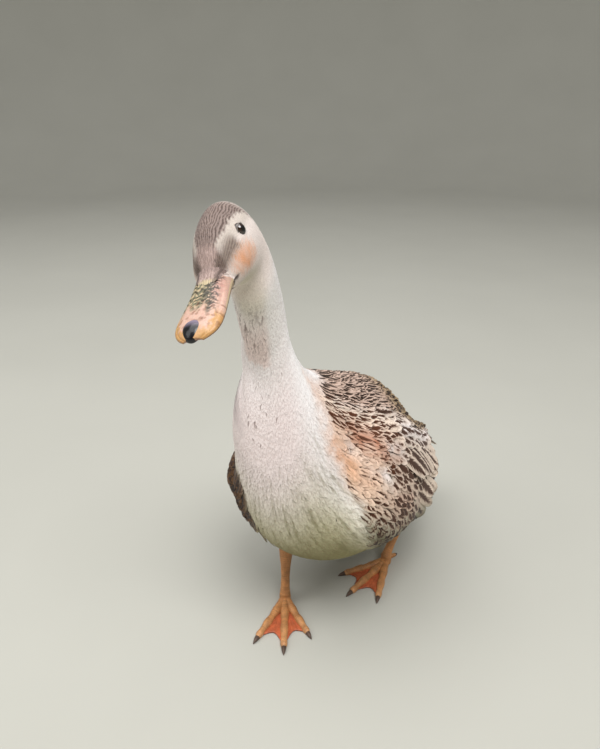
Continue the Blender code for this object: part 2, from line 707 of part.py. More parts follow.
def bill(finish, dark):
    """Both halves of the bill, the nostrils and the dark nail, which sits in a seat cut for it."""
    upper, lower = upper_bill(finish), lower_bill(finish)
    nail_at, axes = head_point(*NAIL_CENTRE), head_axes()
    tilt = math.radians(NAIL_TILT)
    forward, up = axes[0], axes[2]
    tilted_forward = forward * math.cos(tilt) + up * math.sin(tilt)
    tilted_up = up * math.cos(tilt) - forward * math.sin(tilt)
    axes = np.array([tilted_forward, axes[1], tilted_up])
    size = np.array(NAIL_SIZE) * MM
    for half in (upper, lower):
        boolean(half, "DIFFERENCE", cutter=ellipsoid("seat", nail_at, size + GAP, axes, None, 8, 12))
    for side in (1, -1):
        along, across, high = NOSTRIL_PLACE
        place = head_point(along, side * across, high)
        nostril = ellipsoid("nostril", place, np.array(NOSTRIL_SIZE) * MM, axes, None, 6, 8)
        boolean(upper, "DIFFERENCE", cutter=nostril)
    for half in (upper, lower):
        largest_body(half)
    ellipsoid("bill_nail", nail_at, size, axes, dark, 8, 12)


def build():
    for old in list(bpy.data.objects):
        bpy.data.objects.remove(old)
    feathers = material("white_feathers", (0.78, 0.74, 0.66), 0.85)
    fawn = material("fawn_feathers", (0.42, 0.29, 0.2), 0.85)
    horn = material("bill_horn", (0.72, 0.45, 0.34), 0.45)
    dark = material("dark_horn", (0.03, 0.025, 0.03), 0.3)
    eye = material("eye_dark", (0.02, 0.015, 0.012), 0.08)
    skin = material("leg_skin", (0.7, 0.3, 0.12), 0.6)
    body_length("torso", TAIL_CUT, NECK_CUT, 24, ROUND_BODY, feathers, True, True)
    body_length("neck", NECK_CUT, HEAD_CUT, 10, ROUND_NECK, feathers, True, True)
    head(feathers)
    tail(fawn)
    bill(horn, dark)
    for side in LEGS:
        centre, axes = eye_frame(1 if side == "left" else -1)
        ellipsoid("eye_" + side, centre, [EYE_RADIUS] * 3, axes, eye, 9, 12)
        foot(side, skin)
        shank(side, skin)
        thigh(side, feathers)
        wing(side, fawn)


build()
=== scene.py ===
"""A silver appleyard duck at life size, standing with its right foot forward and its head turned left.

Metres, +Z up. The duck faces -Y, its left side is +X, and it stands on the floor, z = 0.
"""

import math

import bpy
import numpy as np
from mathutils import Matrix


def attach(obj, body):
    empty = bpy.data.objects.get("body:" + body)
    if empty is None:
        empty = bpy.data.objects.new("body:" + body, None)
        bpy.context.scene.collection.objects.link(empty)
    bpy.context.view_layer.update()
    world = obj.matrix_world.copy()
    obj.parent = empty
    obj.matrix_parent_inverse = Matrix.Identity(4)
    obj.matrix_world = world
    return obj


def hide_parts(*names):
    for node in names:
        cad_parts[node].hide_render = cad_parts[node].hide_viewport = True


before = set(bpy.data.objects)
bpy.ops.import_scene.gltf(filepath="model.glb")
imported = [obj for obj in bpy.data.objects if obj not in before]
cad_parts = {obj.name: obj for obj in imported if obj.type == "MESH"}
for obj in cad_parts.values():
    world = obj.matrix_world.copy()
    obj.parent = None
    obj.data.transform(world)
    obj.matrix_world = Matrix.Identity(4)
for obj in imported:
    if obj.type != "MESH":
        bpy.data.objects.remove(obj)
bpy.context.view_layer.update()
MM = 0.001


# The studio: a matt pale floor that sweeps up into a wall all round, a broad soft window of daylight from
# above the duck's left, and a camera at the height of a crouching person.
CAMERA_PLACE = (0.3091, -0.5334, 0.539)
CAMERA_TURN, CAMERA_DOWN = math.radians(34), math.radians(23.8)
LENS = 31.24
FLOOR_FLAT, SWEEP, WALL, FLOOR_ROUND = 3.2, 1.6, 3.4, 96
LIGHTS = (
    # name, place, size, power
    ("window", (1.3, -0.9, 2.9), 1.8, 78),
    ("sky", (-0.5, -0.5, 3.0), 3.0, 62),
    ("far_side", (-1.4, -1.9, 1.6), 1.8, 15),
)


def colour(code):
    """A hex colour as linear numbers: c / 12.92 up to 0.04045, else ((c + 0.055) / 1.055) to the 2.4."""
    parts = np.array([int(code[i : i + 2], 16) for i in (1, 3, 5)]) / 255
    return np.where(parts <= 0.04045, parts / 12.92, ((parts + 0.055) / 1.055) ** 2.4)


def add_node(tree, kind, sockets=None, **settings):
    """Adds a shader node with its settings; each named socket gets a value or the output that feeds it."""
    made = tree.nodes.new(kind)
    for name, value in settings.items():
        setattr(made, name, value)
    for name, value in (sockets or {}).items():
        if isinstance(value, bpy.types.NodeSocket):
            tree.links.new(value, made.inputs[name])
        else:
            made.inputs[name].default_value = value
    return made


def new_material(name, **sockets):
    """A material's node tree and its surface shader, with the shader's plain values set on its sockets."""
    made = bpy.data.materials.new(name)
    made.use_nodes = True
    shader = made.node_tree.nodes["Principled BSDF"]
    for socket, value in sockets.items():
        shader.inputs[socket.replace("_", " ")].default_value = value
    return made, made.node_tree, shader


def connect(tree, shader, **outputs):
    """Feeds outputs into the shader's sockets, each named with a low line for every space."""
    for socket, value in outputs.items():
        tree.links.new(value, shader.inputs[socket.replace("_", " ")])


def mesh_piece(name, points, faces, material, maps=None, values=None, smooth=True):
    """A mesh from arrays, with corner maps and point values by name; three numbers make a colour."""
    points, faces = np.asarray(points, np.float32).reshape(-1, 3), np.asarray(faces, np.int32)
    mesh = bpy.data.meshes.new(name)
    mesh.vertices.add(len(points))
    mesh.vertices.foreach_set("co", points.ravel())
    mesh.loops.add(faces.size)
    mesh.loops.foreach_set("vertex_index", faces.ravel())
    mesh.polygons.add(len(faces))
    mesh.polygons.foreach_set("loop_start", np.arange(len(faces), dtype=np.int32) * faces.shape[1])
    mesh.update(calc_edges=True)
    mesh.polygons.foreach_set("use_smooth", np.full(len(faces), smooth))
    for label, places in (maps or {}).items():
        layer = mesh.uv_layers.new(name=label)
        layer.data.foreach_set("uv", np.asarray(places, np.float32).ravel())
    for label, numbers in (values or {}).items():
        numbers = np.asarray(numbers, np.float32)
        if numbers.ndim == 2:
            layer = mesh.attributes.new(label, "FLOAT_COLOR", "POINT")
            rgba = np.concatenate([numbers, np.ones((len(numbers), 1), np.float32)], 1)
            layer.data.foreach_set("color", rgba.ravel())
        else:
            layer = mesh.attributes.new(label, "FLOAT", "POINT")
            layer.data.foreach_set("value", numbers)
    mesh.materials.append(material)
    made = bpy.data.objects.new(name, mesh)
    bpy.context.scene.collection.objects.link(made)
    return made


def grid_faces(rows, columns, wrap=False):
    """The quads of a grid of points, row by row, each row closed on itself if wrapped."""
    index = np.arange(rows * columns).reshape(rows, columns)
    if wrap:
        index = np.concatenate([index, index[:, :1]], 1)
    return np.stack([index[:-1, :-1], index[:-1, 1:], index[1:, 1:], index[1:, :-1]], -1).reshape(-1, 4)


# Floor paint is dull and even, with a faint mottle.
floor_paint, tree, shader = new_material("matt_floor_paint", Roughness=0.92)
place = add_node(tree, "ShaderNodeTexCoord").outputs["Object"]
mottle = add_node(tree, "ShaderNodeTexNoise", {"Vector": place, "Scale": 3.0, "Detail": 3.0}).outputs["Fac"]
tones = {"Factor": mottle, "A": (*colour("#B3B2A9"), 1), "B": (*colour("#BBBAB1"), 1)}
blend = add_node(tree, "ShaderNodeMix", tones, data_type="RGBA")
connect(tree, shader, Base_Color=blend.outputs["Result"])
reach = np.linspace(0.01, FLOOR_FLAT, 20)
bend = np.linspace(0, math.pi / 2, 24)[1:]
profile = np.concatenate(
    [
        np.stack([reach, 0 * reach], 1),
        np.stack([FLOOR_FLAT + SWEEP * np.sin(bend), SWEEP - SWEEP * np.cos(bend)], 1),
        [[FLOOR_FLAT + SWEEP, WALL]],
    ]
)
turn = np.arange(FLOOR_ROUND) * 2 * math.pi / FLOOR_ROUND
rings = np.stack(
    [profile[:, :1] * np.cos(turn), profile[:, :1] * np.sin(turn), profile[:, 1:] + 0 * turn[None, :]], -1
)
faces = grid_faces(len(profile), FLOOR_ROUND, wrap=True)
spoke = np.arange(0, FLOOR_ROUND, 2)
hub = np.full_like(spoke, rings[..., 0].size)
centre_fan = np.stack([spoke, spoke + 1, (spoke + 2) % FLOOR_ROUND, hub], 1)
points = np.concatenate([rings.reshape(-1, 3), [[0, 0, 0]]])
floor = mesh_piece("floor", points, np.concatenate([faces[:, ::-1], centre_fan]), floor_paint)

for name, place, size, power in LIGHTS:
    lamp = bpy.data.lights.new(name, "AREA")
    lamp.shape = "DISK"
    lamp.size = size
    lamp.energy = power
    holder = bpy.data.objects.new(name, lamp)
    holder.location = place
    away = np.array(place) - np.array([0, -0.05, 0.25])
    holder.rotation_euler = (
        math.atan2(math.hypot(away[0], away[1]), away[2]),
        0,
        math.atan2(away[0], -away[1]),
    )
    bpy.context.scene.collection.objects.link(holder)
world = bpy.data.worlds.new("daylight")
world.use_nodes = True
world.node_tree.nodes["Background"].inputs["Color"].default_value = (*colour("#F0EFEE"), 1)
world.node_tree.nodes["Background"].inputs["Strength"].default_value = 0.26
bpy.context.scene.world = world
bpy.context.scene.view_settings.view_transform = "Standard"
lens = bpy.data.cameras.new("camera")
lens.lens = LENS
lens.sensor_width = 36
camera = bpy.data.objects.new("camera", lens)
camera.location = CAMERA_PLACE
camera.rotation_euler = (math.pi / 2 - CAMERA_DOWN, 0, CAMERA_TURN)
bpy.context.scene.collection.objects.link(camera)
bpy.context.scene.camera = camera


# The body under its feathers: one skin from the tail, over the back and up the neck, to the root of the bill.
# It carries the plumage's colours, so that no bare patch shows between feathers. Each row of the tables is a
# cross-section in millimetres.
EYE_PLACE = (-0.8, 17.5, 16.2)
BODY_SECTIONS = (
    # name, back forward, back up, belly forward, belly up, half width, share of the depth at the widest place
    ("tail_end", -212, 121, -202, 99, 23, 0.50),
    ("rump", -176, 145, -163, 84, 43, 0.53),
    ("vent", -136, 171, -116, 69, 60, 0.56),
    ("loin", -93, 202, -56, 59, 73, 0.58),
    ("middle", -48, 238, 2, 58, 82, 0.56),
    ("chest", -6, 265, 52, 72, 85, 0.56),
    ("shoulder", 32, 283, 94, 99, 79, 0.57),
    ("breast", 63, 298, 124, 139, 62, 0.55),
    ("crop", 86, 314, 138, 190, 46, 0.54),
    ("neck_root", 99, 334, 140, 242, 33, 0.52),
    ("neck_low", 105, 356, 137, 288, 26.5, 0.50),
    ("neck_middle", 109, 379, 139, 328, 23.5, 0.50),
    ("neck_high", 115, 402, 148, 360, 21.5, 0.50),
    ("nape", 122, 424, 155, 378, 21.5, 0.50),
)
HEAD_SECTIONS = (
    # name, crown along, crown high, throat along, throat high, half width, share, from the head's middle
    ("occiput", -40, 14, -5, -31, 22.5, 0.50),
    ("hind_crown", -27, 32.5, 1, -26, 23.5, 0.53),
    ("crown", -9, 34, 7, -22, 23, 0.55),
    ("brow", 9, 29.5, 14, -20, 21, 0.55),
    ("forehead", 23, 22, 22, -18, 17.5, 0.56),
    ("bill_root", 35, 8, 27, -15, 13.5, 0.55),
)
HEAD_CENTRE = (-11, 170, 425)
HEAD_PITCH, HEAD_TURN, HEAD_ROLL = math.radians(-15), math.radians(22), math.radians(18)
TURN_AXIS = 148
NAMES = [row[0] for row in BODY_SECTIONS + HEAD_SECTIONS]
# How deep the skin lies under the tips of its coat, by section number, in millimetres.
COAT_DEPTH = (
    (0, 2.0), (1, 3.2), (4, 3.6), (7, 3.2), (9.3, 2.4), (12, 1.8), (14.5, 1.3), (17, 1.0), (19, 0.4),
)
# The folded wing under its coverts: section number, upper and lower edge in degrees, thickness.
WING_PAD = (
    (1.6, 48, 68, 3.0),
    (2.1, 42, 90, 3.6),
    (2.9, 37, 109, 4.6),
    (3.8, 34, 121, 5.8),
    (4.8, 34, 128, 7.6),
    (5.7, 38, 129, 9.6),
    (6.35, 50, 124, 9.6),
    (6.75, 66, 112, 5.0),
)
WING_FOOT, WING_LOW_SWELL = 1.2, 0.35
NECK_WAIST = 1.0
# Small changes of the skin's height: section number, degrees round, reach of each, millimetres out. In order
# they are the waist of the lower neck, the side of the neck's root, the crop, the throat, the front of the
# neck's root, the back, the rump, both sides of the tail's end, the right wing's front, the flank below it,
# the crown, the right brow and the bill's root.
SKIN_FITS = (
    (10.65, -148, 0.85, 72, -8.0),
    (9.82, -99, 0.46, 45, -6.0),
    (8.85, -110, 0.6, 50, 1.5),
    (12.4, -124, 0.8, 80, 0.8),
    (9.4, -124, 1.1, 75, 2.2),
    (4.1, 0, 1.6, 48, 2.4),
    (0.9, 0, 1.2, 75, -5.5),
    (0.0, 75, 1.2, 45, -8.0),
    (0.0, -75, 1.2, 45, -8.0),
    (6.3, -84, 0.9, 16, -4.5),
    (6.3, -124, 0.8, 20, 2.0),
    (15.8, 0, 1.8, 45, -0.7),
    (17.3, -80, 1.2, 45, -0.7),
    (18.5, -85, 0.7, 45, 1.6),
)
SKIN_ROWS, SKIN_ROUND = 300, 128
TABLE_FIRST, TABLE_ROWS, TABLE_ROUND = -1.2, 1300, 361


def at(name):
    """The number of a named cross-section, counted from the tail."""
    return float(NAMES.index(name))


def smoothstep(low, high, t):
    """0 below low, 1 above high, and 3x² - 2x³ between."""
    x = np.clip((np.asarray(t, float) - low) / (high - low), 0, 1)
    return x * x * (3 - 2 * x)


def pitched(along, high):
    """A point of the head in the body's side view: turned down by the head's pitch about its middle."""
    ca, sa = math.cos(HEAD_PITCH), math.sin(HEAD_PITCH)
    return HEAD_CENTRE[1] + along * ca - high * sa, HEAD_CENTRE[2] + high * ca + along * sa


def spline(rows):
    """A natural cubic spline through the rows, one at each whole number: the second derivatives solve the
    three-term system, and each stretch is the cubic that has them at its ends."""
    rows = np.asarray(rows, float)
    count = len(rows)
    system = np.eye(count)
    right = np.zeros_like(rows)
    for i in range(1, count - 1):
        system[i, i - 1 : i + 2] = (1, 4, 1)
        right[i] = 6 * (rows[i - 1] - 2 * rows[i] + rows[i + 1])
    bend = np.linalg.solve(system, right)

    def value(t):
        t = np.asarray(t, float)
        i = np.clip(np.floor(t).astype(int), 0, count - 2)
        b = (t - i)[..., None]
        a = 1 - b
        return a * rows[i] + b * rows[i + 1] + ((a**3 - a) * bend[i] + (b**3 - b) * bend[i + 1]) / 6

    return value


side_rows = [row[1:] for row in BODY_SECTIONS]
side_rows += [(*pitched(*row[1:3]), *pitched(*row[3:5]), *row[5:]) for row in HEAD_SECTIONS]
side_view = spline(side_rows)


def straight_skin(u, v):
    """The body before the head turns: at angle v round from the back of section u, the place lies down from
    the back line by the section's own share of cos v, and aside by its half width times sin v."""
    u, v = np.broadcast_arrays(np.asarray(u, float), np.asarray(v, float))
    back_f, back_z, belly_f, belly_z, half, widest = np.moveaxis(side_view(u), -1, 0)
    down = np.where(np.cos(v) > 0, -widest * np.cos(v), -(1 - widest) * np.cos(v)) + widest
    forward = back_f + (belly_f - back_f) * down
    return np.stack([half * np.sin(v), forward, back_z + (belly_z - back_z) * down], -1) * MM


def turned(points, u):
    """Rolls the head about its own middle and turns it about the neck, both growing smoothly up the neck."""
    across, forward, up = (points[..., i] for i in range(3))
    roll = HEAD_ROLL * smoothstep(at("neck_low"), at("occiput"), u)
    turn = HEAD_TURN * smoothstep(at("crop"), at("occiput"), u)
    shift = HEAD_CENTRE[0] * MM * smoothstep(at("crop"), at("occiput"), u)
    ca, sa = math.cos(HEAD_PITCH), math.sin(HEAD_PITCH)
    f, z = forward - HEAD_CENTRE[1] * MM, up - HEAD_CENTRE[2] * MM
    along, high = f * ca + z * sa, z * ca - f * sa
    across, high = across * np.cos(roll) - high * np.sin(roll), high * np.cos(roll) + across * np.sin(roll)
    forward = HEAD_CENTRE[1] * MM + along * ca - high * sa
    up = HEAD_CENTRE[2] * MM + high * ca + along * sa
    f = forward - TURN_AXIS * MM
    ahead = TURN_AXIS * MM + f * np.cos(turn) - across * np.sin(turn)
    return np.stack([across * np.cos(turn) + f * np.sin(turn) + shift, -ahead, up], -1)


def head_point(along, across, high):
    """A point given in the head's own directions, in millimetres from the head's middle."""
    forward, up = pitched(np.asarray(along, float), np.asarray(high, float))
    points = np.stack(np.broadcast_arrays(np.asarray(across, float), forward, up), -1) * MM
    return turned(points, at("bill_root"))


def body_shape(u, v):
    """The body's place and its outward direction, the cross product of the slopes round and along."""
    step = 1e-3
    around = straight_skin(u, v + step) - straight_skin(u, v - step)
    along = straight_skin(u + step, v) - straight_skin(u - step, v)
    out = np.cross(around, along)
    out /= np.linalg.norm(out, axis=-1, keepdims=True)
    base = straight_skin(u, v)
    place = turned(base, u)
    return place, (turned(base + out * MM, u) - place) / MM


def surface_table(shape, first, last, steps, around):
    """A shape of two parameters as tables of place, outward direction, and metres along for one unit of u
    and around for one unit of v."""
    u, v = np.linspace(first, last, steps), np.linspace(-math.pi, math.pi, around)
    place, out = shape(u[:, None], v[None, :])
    along = np.linalg.norm(np.gradient(place, u, axis=0), axis=-1, keepdims=True)
    round_way = np.linalg.norm(np.gradient(place, v, axis=1), axis=-1, keepdims=True)
    return {"first": first, "last": last, "all": np.concatenate([place, out, along, round_way], -1)}


def sample(table, u, v):
    """Reads a surface's table at any u and v, straight between entries: place, out, scale along, round."""
    grid = table["all"]
    rows, columns = grid.shape[:2]
    x = (np.asarray(u, float) - table["first"]) / (table["last"] - table["first"]) * (rows - 1)
    y = (np.asarray(v, float) / (2 * math.pi) + 0.5) % 1 * (columns - 1)
    i = np.clip(np.floor(x).astype(int), 0, rows - 2)
    j = np.clip(np.floor(y).astype(int), 0, columns - 2)
    a, b = (x - i)[..., None], (y - j)[..., None]
    here = grid[i, j] * (1 - a) * (1 - b) + grid[i + 1, j] * a * (1 - b)
    here += grid[i, j + 1] * (1 - a) * b + grid[i + 1, j + 1] * a * b
    return here[..., :3], here[..., 3:6], here[..., 6], here[..., 7]


def wing_edges(u):
    """The folded wing's upper and lower edge in degrees and its thickness, straight between table rows."""
    numbers = [row[0] for row in WING_PAD]
    return [np.interp(u, numbers, [row[i] for row in WING_PAD]) for i in (1, 2, 3)]


def wing_swell(u, v):
    """Metres that the folded wing stands over the body: its thickness times an arch that falls
    smoothly to nothing at both edges and both ends."""
    upper, lower, thick = wing_edges(u)
    over = (2 * np.abs(np.degrees(v)) - upper - lower) / (lower - upper)
    arch = smoothstep(1.12, 0.5, np.abs(over)) * (1 + WING_LOW_SWELL * over)
    ends = smoothstep(1.5, 2.7, u) * (1 - smoothstep(6.1, 7.0, u))
    return (thick + WING_FOOT) * arch * ends * MM


def near(distance, reach):
    """A soft mask: 1 at the middle and nearly 0 beyond the reach, exp(-2 (distance / reach)²)."""
    return np.exp(-2 * (np.asarray(distance) / reach) ** 2)


def about(u, v, section, degrees, long, wide):
    """A soft mask round a place of the body: one along times one round, each with its reach."""
    turn = (np.degrees(v) - degrees + 180) % 360 - 180
    return near(u - section, long) * near(turn, wide)


def skin_height(u, v):
    """The skin's height over the body's outer form: the wing's swell, less the coat's depth, less a slight
    waist of the neck under the loose feathers of the cheeks, with the small changes added."""
    depth = np.interp(u, [row[0] for row in COAT_DEPTH], [row[1] for row in COAT_DEPTH])
    beside = smoothstep(50, 110, np.abs(np.degrees(v)))
    depth = depth + NECK_WAIST * smoothstep(10.6, 11.1, u) * (1 - smoothstep(12.2, 13.6, u)) * beside
    for section, degrees, long, wide, high in SKIN_FITS:
        depth = depth - high * about(u, v, section, degrees, long, wide)
    return wing_swell(u, v) - depth * MM


body_table = surface_table(body_shape, TABLE_FIRST, at("bill_root"), TABLE_ROWS, TABLE_ROUND)
length_steps = np.concatenate([[0], np.cumsum(body_table["all"][:-1, :, 6].mean(1))])
length_steps /= length_steps[-1]


def unwrapped(u, v):
    """The unwrap of the skin: its length from the tail as a share, and the angle round as a share."""
    share = (np.asarray(u) - body_table["first"]) / (body_table["last"] - body_table["first"])
    up = np.interp(share, np.linspace(0, 1, len(length_steps)), length_steps)
    return np.stack([np.asarray(v) / (2 * math.pi) + 0.5 + 0 * up, up], -1)


# Colours of the plumage. The ground is what most of a feather shows, the mark its dark streak, spot or bar.
WHITE, CREAM, LILAC = colour("#FCF8F7"), colour("#E4DDB6"), colour("#F2E1DE")
# Painted shade: the belly's dark olive stands for the shade under the body, with a green cast of light from
# below.
BELLY_IN_SHADE, THROAT_SHADE, BUFF = colour("#857E4B"), colour("#BDB998"), colour("#F2DDD6")
CROWN_GROUND, CROWN_MARK = colour("#92827B"), colour("#41332F")
FOREHEAD, LORES = colour("#C2AAA2"), colour("#8C7D72")
CHEEK, ORANGE, SALMON, RUST = colour("#F0AE82"), colour("#E9AE84"), colour("#B4765A"), colour("#8E5038")
BROW_SHADE, FACE, LORE_ROOT, PEACH = colour("#D3C8BE"), colour("#F2E4DC"), colour("#6B5A54"), colour("#EBC5AE")
BACK_GROUND, FAWN = colour("#CDB1A0"), colour("#EAD6C3")
RUMP_GROUND, PALE = colour("#A38B69"), colour("#F3E9E6")
# Painted shade: the flank's dark olive stands for the shade low on the sides.
DARK, BROWN, NECK_MARK, FLANK_SHADE = colour("#2C1A0E"), colour("#552F1B"), colour("#75635E"), colour("#574F2F")
FAR_STRIP = colour("#5E3C14")
# Soft patches of colour on the wings: colour, share, section numbers behind the pattern's front edge, degrees
# round from the back, the reach of each, and the share of dark marks that stays in it.
WING_PATCHES = (
    (PEACH, 0.75, -0.1, 44, 0.7, 22, 0.5),
    (SALMON, 0.95, 1.5, 60, 1.3, 13, 1.0),
    (SALMON, 0.5, 2.0, 86, 1.2, 12, 1.0),
    (ORANGE, 1.0, 0.4, 76, 1.0, 17, 0.0),
    (PALE, 0.8, 0.65, 69, 0.35, 6, 0.2),
    (PALE, 0.9, 1.5, 75, 0.5, 5, 0.3),
    (PALE, 0.9, 2.4, 62, 0.4, 5, 0.4),
    (RUST, 0.7, 1.8, 66, 0.4, 4, 1.0),
)
# Where the pattern of the back and wing ends in front, by degrees round from the back. The right wing is
# carried lower, so its pattern reaches further forward and down.
LEFT_EDGE = (
    (0, 7.0), (20, 7.35), (27, 7.65), (48, 8.1), (58, 7.85), (68, 7.55), (81, 7.3), (95, 6.75), (111, 6.1),
    (120, 5.5), (130, 4.7), (145, 3.0), (180, 1.5),
)
RIGHT_EDGE = (
    (0, 7.0), (20, 7.3), (48, 7.7), (80, 6.8), (104, 7.2), (122, 7.75), (132, 8.0), (142, 7.85), (150, 7.55),
    (158, 7.2), (162, 5.0), (168, 2.6), (180, 1.5),
)


def head_place(u, v):
    """Any place of the skin in the head's own directions: millimetres along, across and high."""
    points = straight_skin(u, v) / MM
    f, z = points[..., 1] - HEAD_CENTRE[1], points[..., 2] - HEAD_CENTRE[2]
    ca, sa = math.cos(HEAD_PITCH), math.sin(HEAD_PITCH)
    return f * ca + z * sa, points[..., 0], z * ca - f * sa


def waves(a, b, seed):
    """Smooth unevenness from -1 to 1: the mean of six sines that run in random directions."""
    random = np.random.default_rng(seed)
    total = 0
    for turn, phase, pace in random.uniform((0, 0, 0.6), (2 * math.pi, 2 * math.pi, 1.7), (6, 3)):
        total = total + np.sin((np.cos(turn) * a + np.sin(turn) * b) * pace * 2 * math.pi + phase)
    return total / 3.2


def mixed(first, second, share):
    """One colour or row of colours turned towards another by a share."""
    share = np.clip(np.asarray(share, float), 0, 1)[..., None]
    return first * (1 - share) + second * share


def layered(ground, *layers):
    """A colour with others laid over it in turn, each with its share."""
    for tone, share in layers:
        ground = mixed(ground, tone, share)
    return ground


def plumage(u, v):
    """The ground colour, the mark's colour and the weights of its streaks, spots and bars over the body."""
    u, v = np.broadcast_arrays(np.asarray(u, float), np.asarray(v, float))
    signed = np.degrees((v + math.pi) % (2 * math.pi) - math.pi)
    side = np.abs(signed)
    along, across, high = head_place(u, v)
    aside = np.abs(across)
    uneven = waves(u * 0.9, side / 34, 3)
    fine = waves(u * 2.3, side / 14, 4)
    head = smoothstep(12.6, 13.8, u)
    edge = np.where(signed > 0, np.interp(side, *zip(*LEFT_EDGE)), np.interp(side, *zip(*RIGHT_EDGE)))
    behind = edge + 0.16 * uneven + 0.1 * fine - u
    pattern = smoothstep(-0.2, 0.5, behind)

    # Painted shade: long darker streaks over the breast, sides and belly, for the shadows in the gaps between
    # loose feathers.
    belly_gap_shade = 0.5 * waves(signed / 8 + 0.5 * u, u * 0.5, 9) + waves(signed / 2.9 + 0.7 * u, u * 0.8, 10)
    belly_gap_shade = smoothstep(0.1, 1.0, belly_gap_shade) * smoothstep(9.2, 7.4, u) * smoothstep(70, 96, side)
    front = np.where(signed < 0, smoothstep(104, 132, side), smoothstep(138, 160, side))
    collar = smoothstep(10.84, 10.92, u + 0.05 * fine + 0.004 * (180 - side))
    collar = collar * (1 - smoothstep(12.3, 13.5, u)) * front
    ground = layered(
        WHITE,
        (LILAC, 0.8 * near(u - 9.0, 2.4) * smoothstep(60, 130, side)),
        (CREAM, smoothstep(8.7, 6.5, u) * smoothstep(80, 130, side) * 0.85),
        # Painted shade: dark olive over the lower sides and belly towards the tail, darker still along the
        # very bottom.
        (BELLY_IN_SHADE, 0.95 * smoothstep(8.4, 5.6, u) * smoothstep(96, 140, side)),
        (BELLY_IN_SHADE * 0.75, 0.8 * smoothstep(7.2, 5.8, u) * smoothstep(140, 165, side)),
        # Painted shade: greenish grey low on the neck and, stronger, under the throat, with a green cast of
        # light from below.
        (THROAT_SHADE, 0.15 * near(u - 12.3, 1.8) * smoothstep(60, 120, side)),
        (LILAC, 0.25 * near(u - 11.5, 1.8) * smoothstep(70, 20, side)),
        (BELLY_IN_SHADE * 0.8, 0.62 * belly_gap_shade),
        (BUFF, 0.85 * collar * (1 - 0.65 * smoothstep(11.3, 12.4, u))),
        (THROAT_SHADE, 0.6 * near(u - 13.3, 1.2) * smoothstep(120, 165, side)),
    )

    crown_edge = np.interp(along, (-36, -26, -10, 12, 22, 30, 36), (22, 20, 16, 12.3, 8, 6.5, 8))
    top = 1 - smoothstep(crown_edge - 1.5, crown_edge + 1.5, aside + 0.8 * fine)
    crown = head * top * smoothstep(2, 10, high + np.clip(along, 0, 40) * 0.9) * smoothstep(-33, -15, along)
    forehead_edge = np.interp(along, (20, 26, 33), (7, 8.5, 14))
    forehead = head * smoothstep(19, 29, along) * smoothstep(forehead_edge + 2, forehead_edge - 1, aside)
    forehead = forehead * smoothstep(0, 6, high)
    lore_root = head * near((along - 31) / 6, 1) * near((aside - 9.5) / 4, 1) * smoothstep(2, 7, high)
    mouth = head * smoothstep(23.5, 26.5, along) * near((high + 6.4) / 2.2, 1) * smoothstep(9, 12, aside)
    lore_inner = np.interp(along, (8, 18, 26, 34), (14, 11.5, 8.5, 6))
    lore_high = np.interp(along, (8, 20, 34), (16.5, 13.5, 7))
    lores = head * smoothstep(7, 15, along) * near(high - lore_high, 7.5)
    lores = lores * smoothstep(lore_inner - 2, lore_inner + 1, aside)
    below_eye = head * near(along - 11, 8) * near(high - 10.5, 3.4) * smoothstep(9, 13, aside)
    fore, over = along - 12, high - 0.5
    cheek_along, cheek_over = fore * 0.98 + over * 0.2, over * 0.98 - fore * 0.2
    cheek_reach = np.hypot(cheek_along / 21, cheek_over / 14.5)
    cheek = head * smoothstep(1.05, 0.3, cheek_reach + 0.14 * fine) * smoothstep(8, 13, aside)
    ground = layered(
        ground,
        (FACE, 0.85 * head),
        # Painted shade: the top of the head is painted darker than the face.
        (BROW_SHADE, head * smoothstep(12, 20, high) * smoothstep(-36, -20, along)),
        # Painted shade: greenish grey under the head.
        (THROAT_SHADE, 0.5 * head * smoothstep(-9, -20, high) * smoothstep(-14, 4, along)),
        (CHEEK, 0.85 * cheek * (0.9 + 0.25 * uneven)),
        (CROWN_GROUND, crown),
        (FOREHEAD, forehead),
        (LORES, np.clip(lores + 0.15 * below_eye, 0, 0.9)),
        (LORE_ROOT, 0.6 * lore_root),
        (DARK, 0.9 * mouth),
    )

    beside = smoothstep(36, 46, side + 4 * fine)
    back = pattern * (1 - beside)
    low = np.where(signed > 0, smoothstep(136, 152, side), smoothstep(150, 164, side))
    flank = pattern * smoothstep(92, 106, side) * (1 - low)
    wing = pattern * beside * (1 - smoothstep(94, 108, side))
    far_wing = smoothstep(5.3, 6.3, u) * smoothstep(78, 92, side) * pattern
    far_wing = np.where(signed < 0, far_wing, 0) * (1 - low)
    pale = wing * near(side - 50, 10) * (1 - smoothstep(4.6, 5.3, u))
    rump = pattern * (1 - smoothstep(3.9, 4.9, u)) * (1 - smoothstep(36, 50, side))

    ground = layered(
        ground,
        (BACK_GROUND, 0.95 * back),
        # Painted shade: the wing's fawn and the flank's cream turn dark olive towards the bottom, and the
        # flank's cream is at under half its brightness.
        (mixed(FAWN, FLANK_SHADE, 0.45 * smoothstep(84, 102, side)), 0.95 * wing),
        (mixed(CREAM * 0.45, FLANK_SHADE, smoothstep(92, 112, side)), 0.92 * flank),
    )
    kept = 1 - 0.15 * pale
    for tone, share, back_by, degrees, long, wide, left in WING_PATCHES:
        patch = near(behind - back_by, long) * near(side - degrees, wide) * np.clip(0.9 + 0.3 * fine, 0, 1)
        ground = mixed(ground, tone, share * patch)
        kept = kept * (1 - (1 - left) * np.clip(1.2 * patch, 0, 1))
    ground = layered(ground, (FAR_STRIP, 0.95 * far_wing), (RUMP_GROUND, rump), (PALE, 0.95 * pale))

